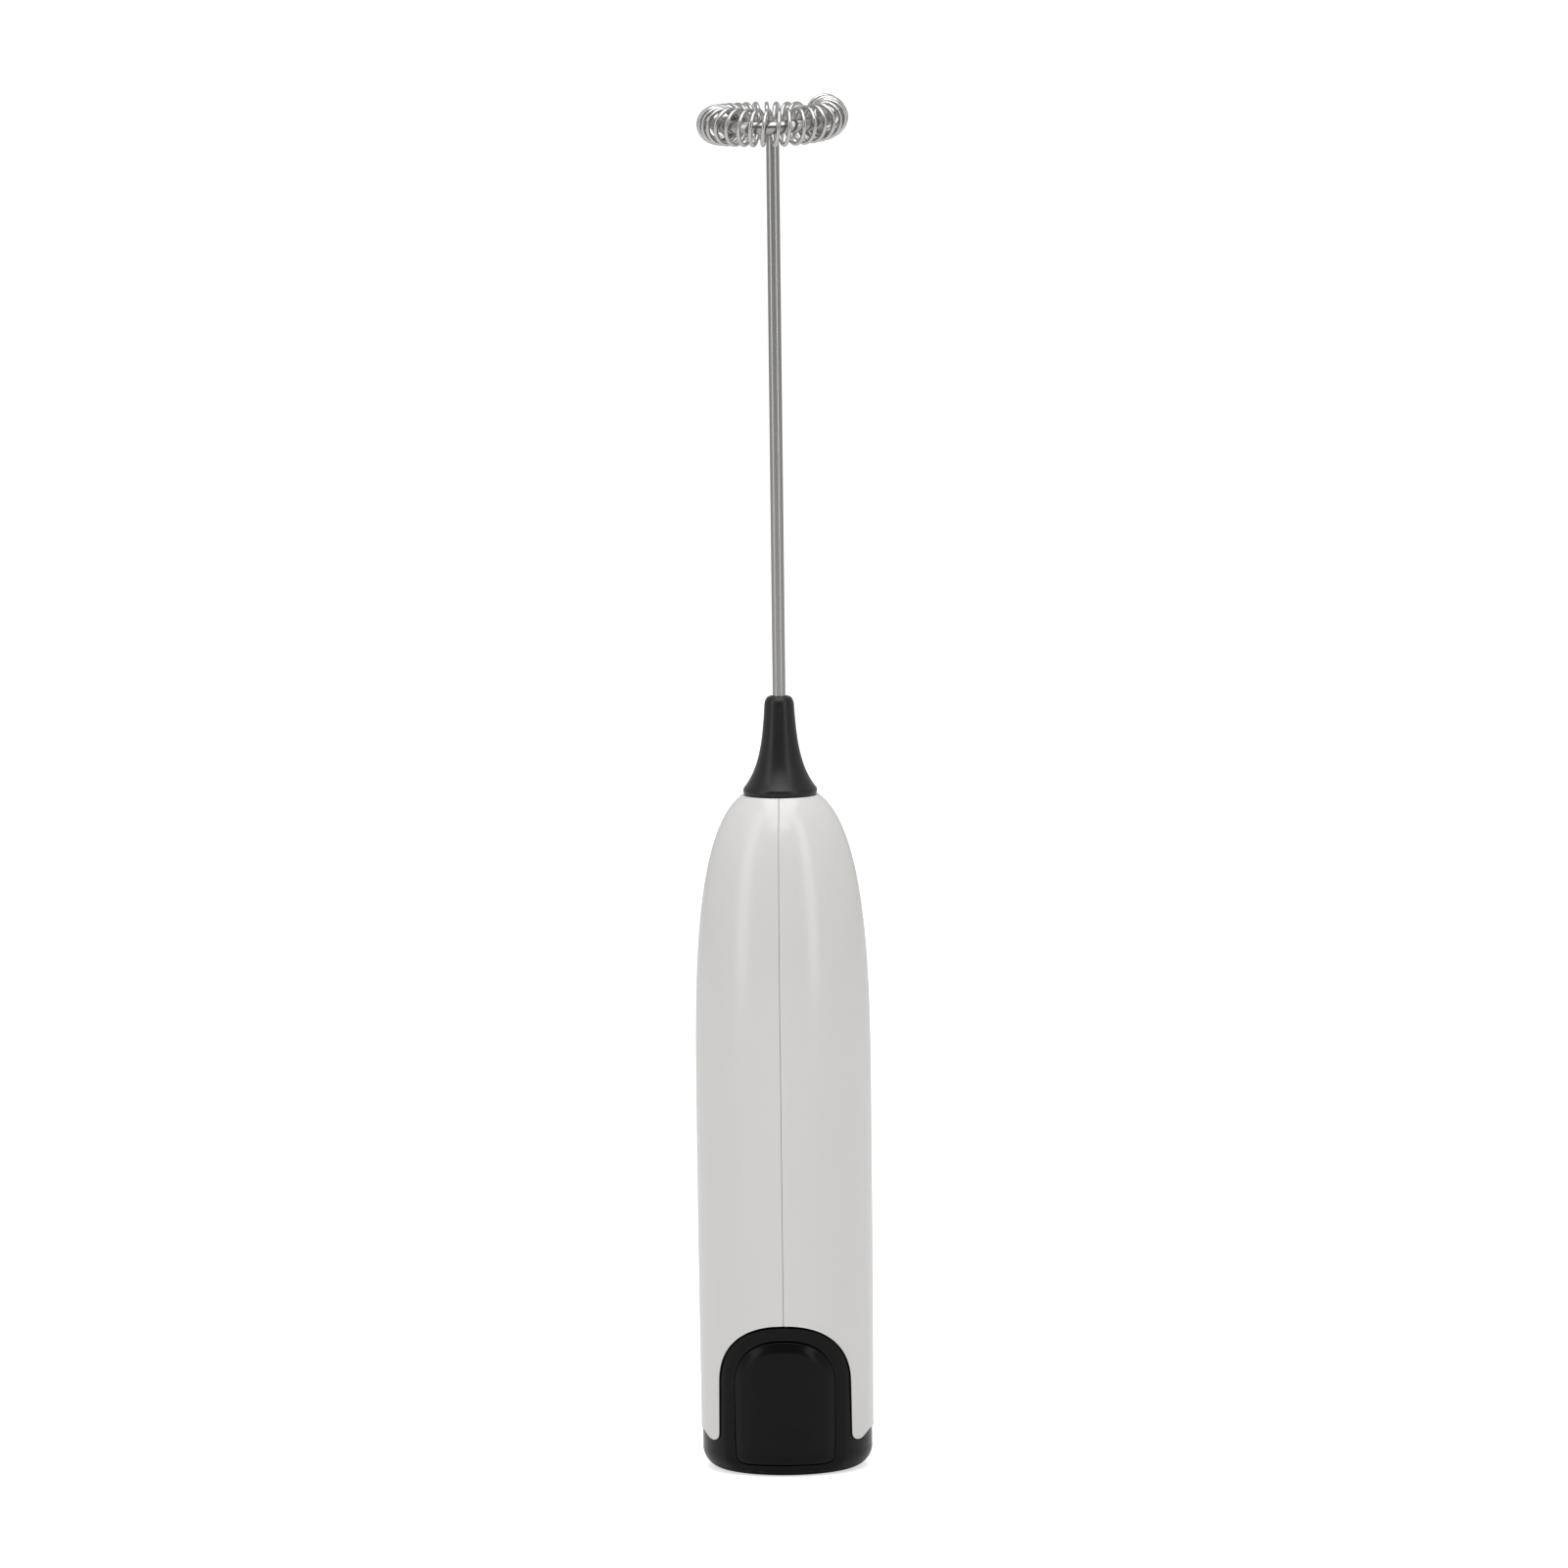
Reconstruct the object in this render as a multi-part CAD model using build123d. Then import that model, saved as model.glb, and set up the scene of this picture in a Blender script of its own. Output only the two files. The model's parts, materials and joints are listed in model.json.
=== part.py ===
from build123d import *
import math
import os

# Battery milk frother that stands on its end cap with the whisk upwards.
# Millimetres, +Z up, front is -Y, +X to the right. The origin is the centre of
# the end cap's flat foot, on the surface that the frother stands on.

# Handle outline: a slightly tapered barrel under a rounded dome
BODY_R = 13.5  # widest radius, where the dome starts
FOOT_R = 13.28  # radius of the shells at the joint with the end cap
DOME_Z = 57.0  # height where the dome starts
DOME_RISE = 48.6  # height of the whole dome, were it not cut off at the shoulder
DOME_POWER = 3.0  # roundness of the dome: 2 is an ellipse, more is squarer
SHOULDER_Z = 104.2  # flat top of the shells, under the nose cone
WALL = 1.6  # shell wall
JOINT_Z = 6.2  # joint line between the end cap and the shells
JOINT_DIP = (1.6, 12.8)  # how far the joint line dips beside the tongue, and where it is level again
SEAM = 0.04  # gap between the two shells
SEAM_GROOVE = (0.2, 0.12)  # width and depth of the groove along the seam
COLLAR_R = 4.3  # hole in the shells' top for the nose cone's spigot
COLLAR_Z = 101.2  # underside of the shells' top

# End cap and the arch-shaped tongue on its front
CAP_INSET = 0.2  # step from the shells in to the cap
FOOT_ROUND = 3.3  # rounding between the foot and the cap's side
CAP_WALL = 1.7
FLOOR = 1.5
ARCH_SPRING_Z = 14.0  # height where the arch's straight sides end
ARCH_HALF = 10.05  # half width of the arch there
ARCH_FOOT_HALF = 10.38  # half width at the lowest point of the joint line
ARCH_RISE = 9.23
ARCH_POWER = 2.3
ARCH_ROOT = 0.8  # fillet between the arch and the joint line
ARCH_GAP = 0.12  # gap between tongue and shells at the sides
ARCH_TOP_GAP = 0.4  # gap over the tongue's top
CAP_COLLAR = (10.2, 11.5, 9.6)  # inner radius, outer radius and top of the cap's collar

# Push button in the tongue
PAD_HALF = 7.85
PAD_TOP_Z = 21.0
PAD_FOOT_Z = 1.9
PAD_GAP = 0.12
PAD_TOP_GAP = 0.3  # the button's free end rises a little as it goes in
PIVOT_Y = -8.3
PIVOT_Z = 3.5
PIN_R = 0.7
PIN_HOLE_R = 0.76

# Two AAA cells side by side
CELL_R = 5.25
CELL_X = 5.35
CELL_FOOT_Z = 11.0
CELL_TOP_Z = 55.5
NUB = (1.9, 0.8)  # radius and height of a cell's nub
JACKET = 0.2
BULKHEAD_Z = (58.2, 60.2)

# Motor
CAN_R = 10.0
CAN_FLAT = 7.55
CAN_Z = (65.0, 84.6)
BELL_FOOT_Z = 60.4
BOSS = (3.1, 86.6)  # radius and top of the can's bearing boss
SHAFT_R = 1.0
BEARING_CLEARANCE = 0.03

# Drive and nose
COUPLING = (2.5, 92.0, 104.0)  # radius, foot and top
WIRE_FOOT_Z = 98.6
MOTOR_SHAFT_TOP_Z = 97.8
CONE_TOP_Z = 119.4
BUSH = (1.8, 112.8, 118.3)  # radius, foot and top

# Whisk: a ring of the shaft's own wire with a fine coil wound round it
RING_R = 8.6
RING_Z = 207.2
RING_START = 64.0  # degrees from +X, anticlockwise from above
RING_END = 392.0
RING_LIFT = 6.5  # degrees that the climbing arc is tilted
SPOKE_BEND = 1.8
COIL_WIRE_R = 0.3
COIL_R = 2.7
COIL_TURNS = 31
FLAT_TURNS = 19
RING_LIFT_FROM = RING_START + (RING_END - RING_START) * FLAT_TURNS / COIL_TURNS  # the ring climbs from here

FAR = 40.0  # longer than anything that it cuts


def spread(low, high, count):
    """Evenly spaced values from low to high."""
    return [low + (high - low) * k / (count - 1) for k in range(count)]


def turned(outline):
    """Revolve a closed (radius, height) outline about the Z axis."""
    return revolve(make_face(Plane.XZ * outline), Axis.Z)


def turned_steps(*corners):
    """Revolve a polygon of (radius, height) corners."""
    return turned(Polyline(*corners, close=True))


def block(x, y, z):
    """Box between the two x, the two y and the two z values."""
    size = [high - low for low, high in (x, y, z)]
    middle = [(high + low) / 2 for low, high in (x, y, z)]
    return Pos(*middle) * Box(*size)


def rod(x, y, z, radius):
    """Upright cylinder from z[0] to z[1]."""
    return Pos(x, y, (z[0] + z[1]) / 2) * Cylinder(radius, z[1] - z[0])


def tube(x, y, z, inner, outer):
    return rod(x, y, z, outer) - rod(x, y, z, inner)


# ---------------------------------------------------------------- handle


def handle_radius(z, inset):
    """Radius of the handle's outline at a height, moved in by inset."""
    if z <= DOME_Z:
        fall = (DOME_Z - z) / (DOME_Z - JOINT_Z)
        return BODY_R - inset - (BODY_R - FOOT_R) * fall**2
    rise = (z - DOME_Z) / (DOME_RISE - inset)
    return (BODY_R - inset) * (1 - rise**DOME_POWER) ** (1 / DOME_POWER)


def handle_form(inset, top_z, foot_z=0.0):
    """Solid inside the handle's outline, moved in by inset and cut off flat at top_z."""
    steps = [math.sin(math.radians(angle)) for angle in spread(0, 90, 10)]
    heights = spread(foot_z, DOME_Z, 5) + [DOME_Z + (top_z - DOME_Z) * s for s in steps[1:]]
    side = Spline(*[(handle_radius(z, inset), z) for z in heights])
    top_r = handle_radius(top_z, inset)
    ends = Polyline((top_r, top_z), (0, top_z), (0, foot_z), (handle_radius(foot_z, inset), foot_z))
    return turned(side + ends)


def arch_region(side_gap, top_gap, joint_z):
    """Front view of the end cap: everything under the joint line, and the arch above it."""
    half = ARCH_HALF + side_gap
    foot_half = ARCH_FOOT_HALF + side_gap
    rise = ARCH_RISE + top_gap
    over = []
    for angle in spread(0, 180, 17):
        across, up = math.cos(math.radians(angle)), math.sin(math.radians(angle))
        x = math.copysign(half * abs(across) ** (2 / ARCH_POWER), across)
        over.append((x, ARCH_SPRING_Z + rise * up ** (2 / ARCH_POWER)))
    dip, level_x = JOINT_DIP
    low_z = joint_z - dip
    lean = (foot_half - half, ARCH_SPRING_Z - low_z)
    crown = Spline(*over, tangents=[(-lean[0], lean[1]), (-lean[0], -lean[1])])
    sides = Polyline(
        over[-1], (-foot_half, low_z), (-level_x, joint_z), (-FAR, joint_z), (-FAR, -FAR),
        (FAR, -FAR), (FAR, joint_z), (level_x, joint_z), (foot_half, low_z), over[0],
    )
    face = make_face(Plane.XZ * (crown + sides))
    roots = [v for v in face.vertices() if abs(abs(v.X) - foot_half) < 0.01 and v.Z < low_z + 0.01]
    return fillet(roots, ARCH_ROOT)


def cap_space(side_gap, top_gap, joint_z):
    """The space that the end cap takes, as a tool to cut or keep with."""
    front = extrude(arch_region(side_gap, top_gap, joint_z), FAR, dir=(0, -1, 0))
    return front + block((-FAR, FAR), (0, FAR), (-FAR, joint_z))


def shells():
    """Both halves of the handle, left and right of the seam, with a lip and ribs inside."""
    inner_top = COLLAR_Z
    hollow = handle_form(WALL, inner_top) + rod(0, 0, (inner_top - 1, SHOULDER_Z + 1), COLLAR_R)
    whole = handle_form(0, SHOULDER_Z) - hollow
    for foot_z in (BULKHEAD_Z[1] + 0.1, 72.0, 83.0):
        rib = handle_form(WALL - 0.3, foot_z + 1.2, foot_z)
        whole += rib - rod(0, 0, (0, SHOULDER_Z), CAN_R + 0.15)
    whole -= cap_space(ARCH_GAP, ARCH_TOP_GAP, JOINT_Z + 0.05)
    width, depth = SEAM_GROOVE
    skin = handle_form(-1.0, SHOULDER_Z - 0.2) - handle_form(depth, SHOULDER_Z - 0.2)
    whole -= skin & block((-width / 2, width / 2), (-FAR, FAR), (0, SHOULDER_Z))
    halves = []
    for side in (-1, 1):
        near, far = sorted((side * SEAM / 2, side * FAR))
        halves.append(whole & block((near, far), (-FAR, FAR), (0, SHOULDER_Z + 1)))
    lip_root = handle_form(WALL - 0.3, 57.9, 12) - handle_form(WALL + 0.5, 57.9, 12)
    lip = handle_form(WALL + 0.06, 57.9, 12) - handle_form(WALL + 0.5, 57.9, 12)
    rear = (4.0, FAR)
    left_lip = lip_root & block((-1.6, -SEAM / 2), rear, (0, FAR * 2))
    left_lip += lip & block((-SEAM, 1.6), rear, (0, FAR * 2))
    return halves[0] + left_lip, halves[1]


def nose_cone():
    """Trumpet-shaped nose with a rounded tip, a spigot through the shells and a flange."""
    seat = SHOULDER_Z
    flare = Spline(
        (5.62, seat + 1.05), (4.5, seat + 3.0), (3.37, seat + 5.7), (2.81, seat + 8.4),
        (2.57, seat + 11.1), (2.46, seat + 13.9), tangents=[(-0.62, 0.78), (-0.02, 1)],
    )
    lip = ThreePointArc((5.5, seat), (5.8, seat + 0.5), (5.62, seat + 1.05))
    tip = ThreePointArc((2.46, seat + 13.9), (2.2, seat + 14.85), (1.6, CONE_TOP_Z))
    rest = Polyline((1.6, CONE_TOP_Z), (0, CONE_TOP_Z), (0, seat), (5.5, seat))
    cone = turned(lip + flare + tip + rest)
    cone += turned_steps(
        (0, seat), (COLLAR_R - 0.1, seat), (COLLAR_R - 0.1, COLLAR_Z - 0.05), (5.5, COLLAR_Z - 0.05),
        (5.5, COLLAR_Z - 1.2), (0, COLLAR_Z - 1.2),
    )
    cone -= rod(0, 0, (0, 107.0), 3.1)
    cone -= turned_steps((0, 106.9), (3.1, 106.9), (BUSH[0], 108.6), (0, 108.6))
    cone -= rod(0, 0, (108.5, BUSH[2]), BUSH[0])
    return cone - rod(0, 0, (BUSH[2] - 0.1, CONE_TOP_Z + 1), 1.3)


def nose_bush():
    return tube(0, 0, BUSH[1:], SHAFT_R + 0.05, BUSH[0])


def shaft_seal():
    """Rubber lip seal under the bush."""
    foot, top = BUSH[1] - 2.0, BUSH[1]
    return turned_steps(
        (1.3, top), (BUSH[0], top), (BUSH[0], foot), (1.45, foot), (1.45, foot + 0.8), (1.03, foot + 1.1),
        (1.03, foot + 1.4),
    )


def battery_tray():
    """Bulkhead over the cells, with a trough behind each and a spine between them."""
    tray = rod(0, 0, BULKHEAD_Z, 11.6)
    troughs = tube(-CELL_X, 0, (CELL_FOOT_Z - 0.5, BULKHEAD_Z[0]), CELL_R + 0.1, CELL_R + 1.1)
    troughs += tube(CELL_X, 0, (CELL_FOOT_Z - 0.5, BULKHEAD_Z[0]), CELL_R + 0.1, CELL_R + 1.1)
    troughs += block((-1.2, 1.2), (2.4, 8.0), (CELL_FOOT_Z - 0.5, BULKHEAD_Z[0]))
    troughs &= block((-FAR, FAR), (1.5, FAR), (0, FAR * 2))
    troughs &= rod(0, 0, (0, 80), 11.15)
    for x in (-CELL_X, CELL_X):
        troughs -= rod(x, 0, (0, BULKHEAD_Z[0]), CELL_R + 0.1)
    tray += troughs
    for x in (-4.0, 4.0):
        tray -= rod(x, -8.6, (BULKHEAD_Z[0] - 1, BULKHEAD_Z[1] + 1), 1.0)
    return tray


def cell(x, nub_up):
    """Steel can of an AAA cell, with its nub at one end."""
    radius, height = NUB
    body_z = (CELL_FOOT_Z, CELL_TOP_Z - height) if nub_up else (CELL_FOOT_Z + height, CELL_TOP_Z)
    can = rod(x, 0, body_z, CELL_R - JACKET)
    can = fillet(can.edges().filter_by(GeomType.CIRCLE), 0.5)
    nub_z = (body_z[1] - 0.1, CELL_TOP_Z) if nub_up else (CELL_FOOT_Z, body_z[0] + 0.1)
    return can + rod(x, 0, nub_z, radius)


def jacket(x, nub_up):
    """Printed sleeve round a cell, turned in over both ends."""
    height = NUB[1]
    foot = CELL_FOOT_Z + (0 if nub_up else height) + 0.55
    top = CELL_TOP_Z - (height if nub_up else 0) - 0.55
    return tube(x, 0, (foot, top), CELL_R - JACKET, CELL_R)


def helix_spring(x, y, z, radius_foot, radius_top, turns, wire_r):
    """Conical wire spring: a flat ring at its foot, and tapering turns above it."""
    foot, top = z[0] + wire_r, z[1] - wire_r
    slope = math.degrees(math.atan2(radius_top - radius_foot, top - foot))
    path = Helix((top - foot) / turns, top - foot, radius_foot, center=(x, y, foot), cone_angle=slope)
    section = Plane(origin=path @ 0, z_dir=path % 0) * Circle(wire_r)
    return sweep(section, path=path, is_frenet=True)


def top_contact_plate():
    """Positive contact over the right cell, with a tab for its lead."""
    plate = block((2.4, 8.4), (-3.0, 3.0), (BULKHEAD_Z[0] - 0.3, BULKHEAD_Z[0]))
    plate += rod(CELL_X, 0, (CELL_TOP_Z, BULKHEAD_Z[0] - 0.2), 1.6)
    return plate + block((3.2, 4.8), (-9.6, -2.9), (BULKHEAD_Z[0] - 0.3, BULKHEAD_Z[0]))


def top_contact_spring():
    """Negative contact over the left cell: a coil spring on a plate with a tab."""
    plate = block((-8.4, -2.4), (-3.0, 3.0), (BULKHEAD_Z[0] - 0.3, BULKHEAD_Z[0]))
    plate += block((-4.8, -3.2), (-9.6, -2.9), (BULKHEAD_Z[0] - 0.3, BULKHEAD_Z[0]))
    coil = helix_spring(-CELL_X, 0, (CELL_TOP_Z, BULKHEAD_Z[0] - 0.2), 1.8, 2.7, 3, 0.25)
    return plate + coil


# ---------------------------------------------------------------- motor


def can_section(z, radius, flat):
    """Upright round bar with two flats, front and back."""
    return rod(0, 0, z, radius) & block((-FAR, FAR), (-flat, flat), (0, SHOULDER_Z))


def motor_can():
    can = can_section(CAN_Z, CAN_R, CAN_FLAT) - can_section((0, CAN_Z[1] - 0.8), CAN_R - 0.8, CAN_FLAT - 0.8)
    can += rod(0, 0, (CAN_Z[1] - 0.1, BOSS[1]), BOSS[0])
    can -= rod(0, 0, (CAN_Z[0], BOSS[1] - 0.4), 2.4)
    return can - rod(0, 0, (CAN_Z[0], BOSS[1] + 1), 1.4)


def motor_front_bearing():
    return tube(0, 0, (BOSS[1] - 2.6, BOSS[1] - 0.4), SHAFT_R + BEARING_CLEARANCE, 2.4)


def motor_end_bell():
    """Plastic end of the motor, with a pocket for the rear bearing and slots for the terminals."""
    bell = can_section((BELL_FOOT_Z, CAN_Z[0]), CAN_R, CAN_FLAT)
    bell -= can_section((BELL_FOOT_Z + 1.4, CAN_Z[0]), CAN_R - 1.6, CAN_FLAT - 1.6)
    bell += rod(0, 0, (BELL_FOOT_Z, BELL_FOOT_Z + 2.6), 3.0)
    bell -= rod(0, 0, (BELL_FOOT_Z + 0.5, CAN_Z[0]), 2.2)
    for side in (-1, 1):
        bell -= block(sorted((side * 6.1, side * 6.7)), (-1.3, 1.3), (BELL_FOOT_Z - 1, BELL_FOOT_Z + 2))
    return bell


def motor_rear_bearing():
    return tube(0, 0, (BELL_FOOT_Z + 0.5, BELL_FOOT_Z + 2.5), SHAFT_R + BEARING_CLEARANCE, 2.2)


def motor_magnets():
    """Two arc magnets, left and right inside the can."""
    ring = tube(0, 0, (67.0, 82.5), 7.0, CAN_R - 0.8)
    arcs = [ring & block(sorted((side * 3.2, side * FAR)), (-5.6, 5.6), (0, SHOULDER_Z)) for side in (-1, 1)]
    return arcs[0] + arcs[1]


def motor_brushes():
    """Two copper strips that press on the commutator from left and right."""
    strips = []
    for side in (-1, 1):
        strip = block(sorted((side * 1.88, side * 2.13)), (-0.9, 5.0), (BELL_FOOT_Z + 3.0, BELL_FOOT_Z + 4.4))
        foot = block(sorted((side * 2.0, side * 6.0)), (4.75, 5.0), (BELL_FOOT_Z + 3.0, BELL_FOOT_Z + 4.4))
        strips.append(strip + foot)
    return strips[0] + strips[1]


def motor_terminals():
    """Two solder tabs through the end bell, bent sideways under it."""
    tabs = []
    for side in (-1, 1):
        tab = block(sorted((side * 6.2, side * 6.6)), (-1.2, 1.2), (BELL_FOOT_Z - 0.1, BELL_FOOT_Z + 3.6))
        tabs.append(tab)
    return tabs[0] + tabs[1]


def motor_shaft():
    return rod(0, 0, (BELL_FOOT_Z + 0.6, MOTOR_SHAFT_TOP_Z), SHAFT_R)


def armature_core():
    """Three-pole laminated core."""
    core = rod(0, 0, (68.0, 81.5), 2.4)
    shoes = tube(0, 0, (68.0, 81.5), 5.7, 6.6)
    for k in range(3):
        core += Rot(0, 0, 120 * k + 90) * block((1.8, 6.0), (-0.9, 0.9), (68.0, 81.5))
        shoes -= Rot(0, 0, 120 * k + 30) * block((4.0, 8.0), (-1.0, 1.0), (67.0, 82.5))
    return core + shoes - rod(0, 0, (60, 90), SHAFT_R + 0.01)


def armature_windings():
    """A copper coil round each pole."""
    coils = []
    for k in range(3):
        coil = block((2.7, 5.4), (-2.1, 2.1), (66.9, 82.6)) - block((2.0, 6.0), (-0.95, 0.95), (67.95, 81.55))
        coil &= rod(0, 0, (60, 90), 5.45)
        coils.append(Rot(0, 0, 120 * k + 90) * third_of_circle(coil))
    return coils[0] + coils[1] + coils[2]


def third_of_circle(coil):
    """Trim a coil to its third of the circle, so that it stays clear of its neighbours."""
    for side in (-1, 1):
        coil -= Rot(0, 0, side * 60) * block((0, FAR), sorted((-side * 0.15, side * FAR)), (60, 90))
    return coil


def commutator():
    """Three copper segments on a plastic sleeve's place, round the motor shaft."""
    ring = tube(0, 0, (BELL_FOOT_Z + 2.8, BELL_FOOT_Z + 5.2), SHAFT_R + 0.01, 1.85)
    for k in range(3):
        ring -= Rot(0, 0, 120 * k) * block((1.4, 3.0), (-0.12, 0.12), (BELL_FOOT_Z, BELL_FOOT_Z + 5.3))
    return ring


def lead(points, radii, radius):
    """Insulated wire along straight runs joined by arcs."""
    path = FilletPolyline(*points, radius=radii)
    section = Plane(origin=path @ 0, z_dir=path % 0) * Circle(radius)
    return sweep(section, path=path)


def motor_lead(side):
    """Wire from a contact's tab up through the bulkhead to a motor terminal."""
    points = [
        (side * 4.0, -8.6, BULKHEAD_Z[0]), (side * 4.0, -8.6, 62.2), (side * 5.4, -8.9, 65.0),
        (side * 5.4, -8.9, 70.0),
    ]
    return lead(points, [2.2, 2.2], 0.45)


def noise_capacitor():
    """Small disc capacitor beside the end bell."""
    disc = Pos(0, -9.0, 66.2) * Rot(90, 0, 0) * Cylinder(2.6, 1.5)
    return fillet(disc.edges(), 0.5)


# ---------------------------------------------------------------- drive


def drive_coupling():
    """Brass sleeve that joins the motor shaft to the whisk's wire."""
    radius, foot, top = COUPLING
    sleeve = rod(0, 0, (foot, top), radius)
    sleeve = chamfer(sleeve.edges().filter_by(GeomType.CIRCLE), 0.3)
    return sleeve - rod(0, 0, (foot - 1, top + 1), SHAFT_R + 0.01)


def tilted_arc(start, end):
    """Part of the ring that climbs: an arc in a plane turned about the ring's tangent."""
    hinge = Axis((RING_R * math.cos(math.radians(start)), RING_R * math.sin(math.radians(start)), RING_Z),
                 (-math.sin(math.radians(start)), math.cos(math.radians(start)), 0))
    arc = CenterArc((0, 0, RING_Z), RING_R, start, end - start)
    return arc.rotate(hinge, RING_LIFT)


def whisk_path():
    """Centre line of the shaft, its spoke and the ring."""
    reach = RING_R - SPOKE_BEND
    side = math.degrees(math.asin(SPOKE_BEND / reach))
    spoke_end = math.sqrt(reach**2 - SPOKE_BEND**2)
    away = Rot(0, 0, RING_START - side)
    rise = Line((0, 0, WIRE_FOOT_Z), (0, 0, RING_Z - SPOKE_BEND))
    bend = away * ThreePointArc(
        (0, 0, RING_Z - SPOKE_BEND),
        (SPOKE_BEND * (1 - math.sqrt(0.5)), 0, RING_Z - SPOKE_BEND * (1 - math.sqrt(0.5))),
        (SPOKE_BEND, 0, RING_Z),
    )
    spoke = away * Line((SPOKE_BEND, 0, RING_Z), (spoke_end, 0, RING_Z))
    turn = away * CenterArc((spoke_end, SPOKE_BEND, RING_Z), SPOKE_BEND, -90, 90 + side)
    flat = CenterArc((0, 0, RING_Z), RING_R, RING_START, RING_LIFT_FROM - RING_START)
    return rise + bend + spoke + turn + flat + tilted_arc(RING_LIFT_FROM, RING_END)


def whisk_wire():
    """Shaft and ring in one piece of steel wire."""
    path = Wire(whisk_path().edges())
    section = Plane(origin=(0, 0, WIRE_FOOT_Z)) * Circle(SHAFT_R)
    return sweep(section, path=path)


def coil_turn(ring_angle, step):
    """One turn of the coil, which starts at ring_angle and advances by step degrees."""
    def on_ring(share, reach, rise):
        around = math.radians(ring_angle + step * share)
        return Vector(reach * math.cos(around), reach * math.sin(around), RING_Z + rise)

    def on_coil(share):
        lap = 2 * math.pi * share
        return on_ring(share, RING_R + COIL_R * math.cos(lap), COIL_R * math.sin(lap))

    nudge = 0.0001
    sections = []
    for share in spread(0, 1, 13):
        ahead = (on_coil(share + nudge) - on_coil(share - nudge)).normalized()
        outward = on_coil(share) - on_ring(share, RING_R, 0)
        outward = outward - ahead * outward.dot(ahead)
        sections.append(Plane(origin=on_coil(share), x_dir=outward, z_dir=ahead) * Circle(COIL_WIRE_R))
    return loft(sections)


def whisk_coil():
    """Fine coil wound round the ring, one solid for each turn, end to end."""
    step = (RING_END - RING_START) / COIL_TURNS
    first = coil_turn(RING_LIFT_FROM, step)
    start = math.radians(RING_LIFT_FROM)
    hinge = Axis((RING_R * math.cos(start), RING_R * math.sin(start), RING_Z), (-math.sin(start), math.cos(start), 0))
    turns = []
    for k in range(COIL_TURNS):
        angle = RING_START + step * k - RING_LIFT_FROM
        turn = first.rotate(Axis.Z, angle)
        if k >= FLAT_TURNS:
            turn = turn.rotate(hinge, RING_LIFT)
        turns.append(turn.solids()[0])
    return Compound(turns)


# ---------------------------------------------------------------- end cap


def cap_form(inset, top_z):
    """Solid inside the end cap's outline, moved in by inset."""
    foot_r = FOOT_R - CAP_INSET
    rounding = FOOT_ROUND - inset
    centre = (foot_r - FOOT_ROUND, FOOT_ROUND)
    corner = CenterArc(centre, rounding, -90, 90)
    top_r = handle_radius(top_z, CAP_INSET + inset)
    rest = Polyline((foot_r - inset, FOOT_ROUND), (top_r, top_z), (0, top_z), (0, inset), (centre[0], inset))
    return turned(corner + rest)


def pad_region(side_gap, top_gap, foot_gap):
    """Front view of the button: a tall arch inside the tongue's arch."""
    half = PAD_HALF + side_gap
    foot_z = PAD_FOOT_Z - foot_gap
    rise = PAD_TOP_Z + top_gap - ARCH_SPRING_Z
    over = []
    for angle in spread(0, 180, 17):
        across, up = math.cos(math.radians(angle)), math.sin(math.radians(angle))
        x = math.copysign(half * abs(across) ** (2 / ARCH_POWER), across)
        over.append((x, ARCH_SPRING_Z + rise * up ** (2 / ARCH_POWER)))
    crown = Spline(*over, tangents=[(0, 1), (0, -1)])
    sides = Polyline(over[-1], (-half, foot_z), (half, foot_z), over[0])
    face = make_face(Plane.XZ * (crown + sides))
    feet = [v for v in face.vertices() if v.Z < foot_z + 0.01]
    return fillet(feet, 1.2)


def end_cap():
    """Cup with a round foot, an arched tongue with a window, a collar and two pivot ears."""
    top_z = ARCH_SPRING_Z + ARCH_RISE + 1
    cup = cap_form(0, top_z) & cap_space(0, 0, JOINT_Z)
    inner = rod(0, 0, (FLOOR, FAR), FOOT_R - CAP_INSET - CAP_WALL)
    cup -= inner
    collar = tube(0, 0, (FLOOR - 0.1, CAP_COLLAR[2]), CAP_COLLAR[0], CAP_COLLAR[1])
    collar -= block((-9.7, 9.7), (-FAR, -3.5), (0, FAR))
    cup += collar
    ears = block((8.1, 9.4), (-9.6, -6.9), (FLOOR - 0.1, 5.3)) + block((-9.4, -8.1), (-9.6, -6.9), (FLOOR - 0.1, 5.3))
    cup += ears & rod(0, 0, (0, FAR), 12.0)
    window = extrude(pad_region(PAD_GAP, PAD_TOP_GAP, PAD_GAP), FAR, dir=(0, -1, 0))
    cup -= window & block((-FAR, FAR), (-FAR, -6.6), (0, FAR))
    return cup - Pos(0, PIVOT_Y, PIVOT_Z) * Rot(0, 90, 0) * Cylinder(PIN_HOLE_R, 30)


def power_button():
    """Arched push pad with two pivot pins at its foot and a nib for the switch."""
    ring = cap_form(0.05, PAD_TOP_Z + 1) - rod(0, 0, (-1, FAR), FOOT_R - CAP_INSET - CAP_WALL)
    pad = ring & extrude(pad_region(0, 0, 0), FAR, dir=(0, -1, 0))
    for side in (-1, 1):
        lug_x = sorted((side * 6.4, side * (PAD_HALF - 0.35)))
        lug = block(lug_x, (-9.7, PIVOT_Y + 1.1), (PIVOT_Z - 1.1, PIVOT_Z + 1.1))
        pin = Pos(side * 7.9, PIVOT_Y, PIVOT_Z) * Rot(0, 90, 0) * Cylinder(PIN_R, 2.6)
        pad += lug + pin
    return pad + block((-1.5, 1.5), (-12.0, -10.6), (15.7, 17.3))


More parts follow.
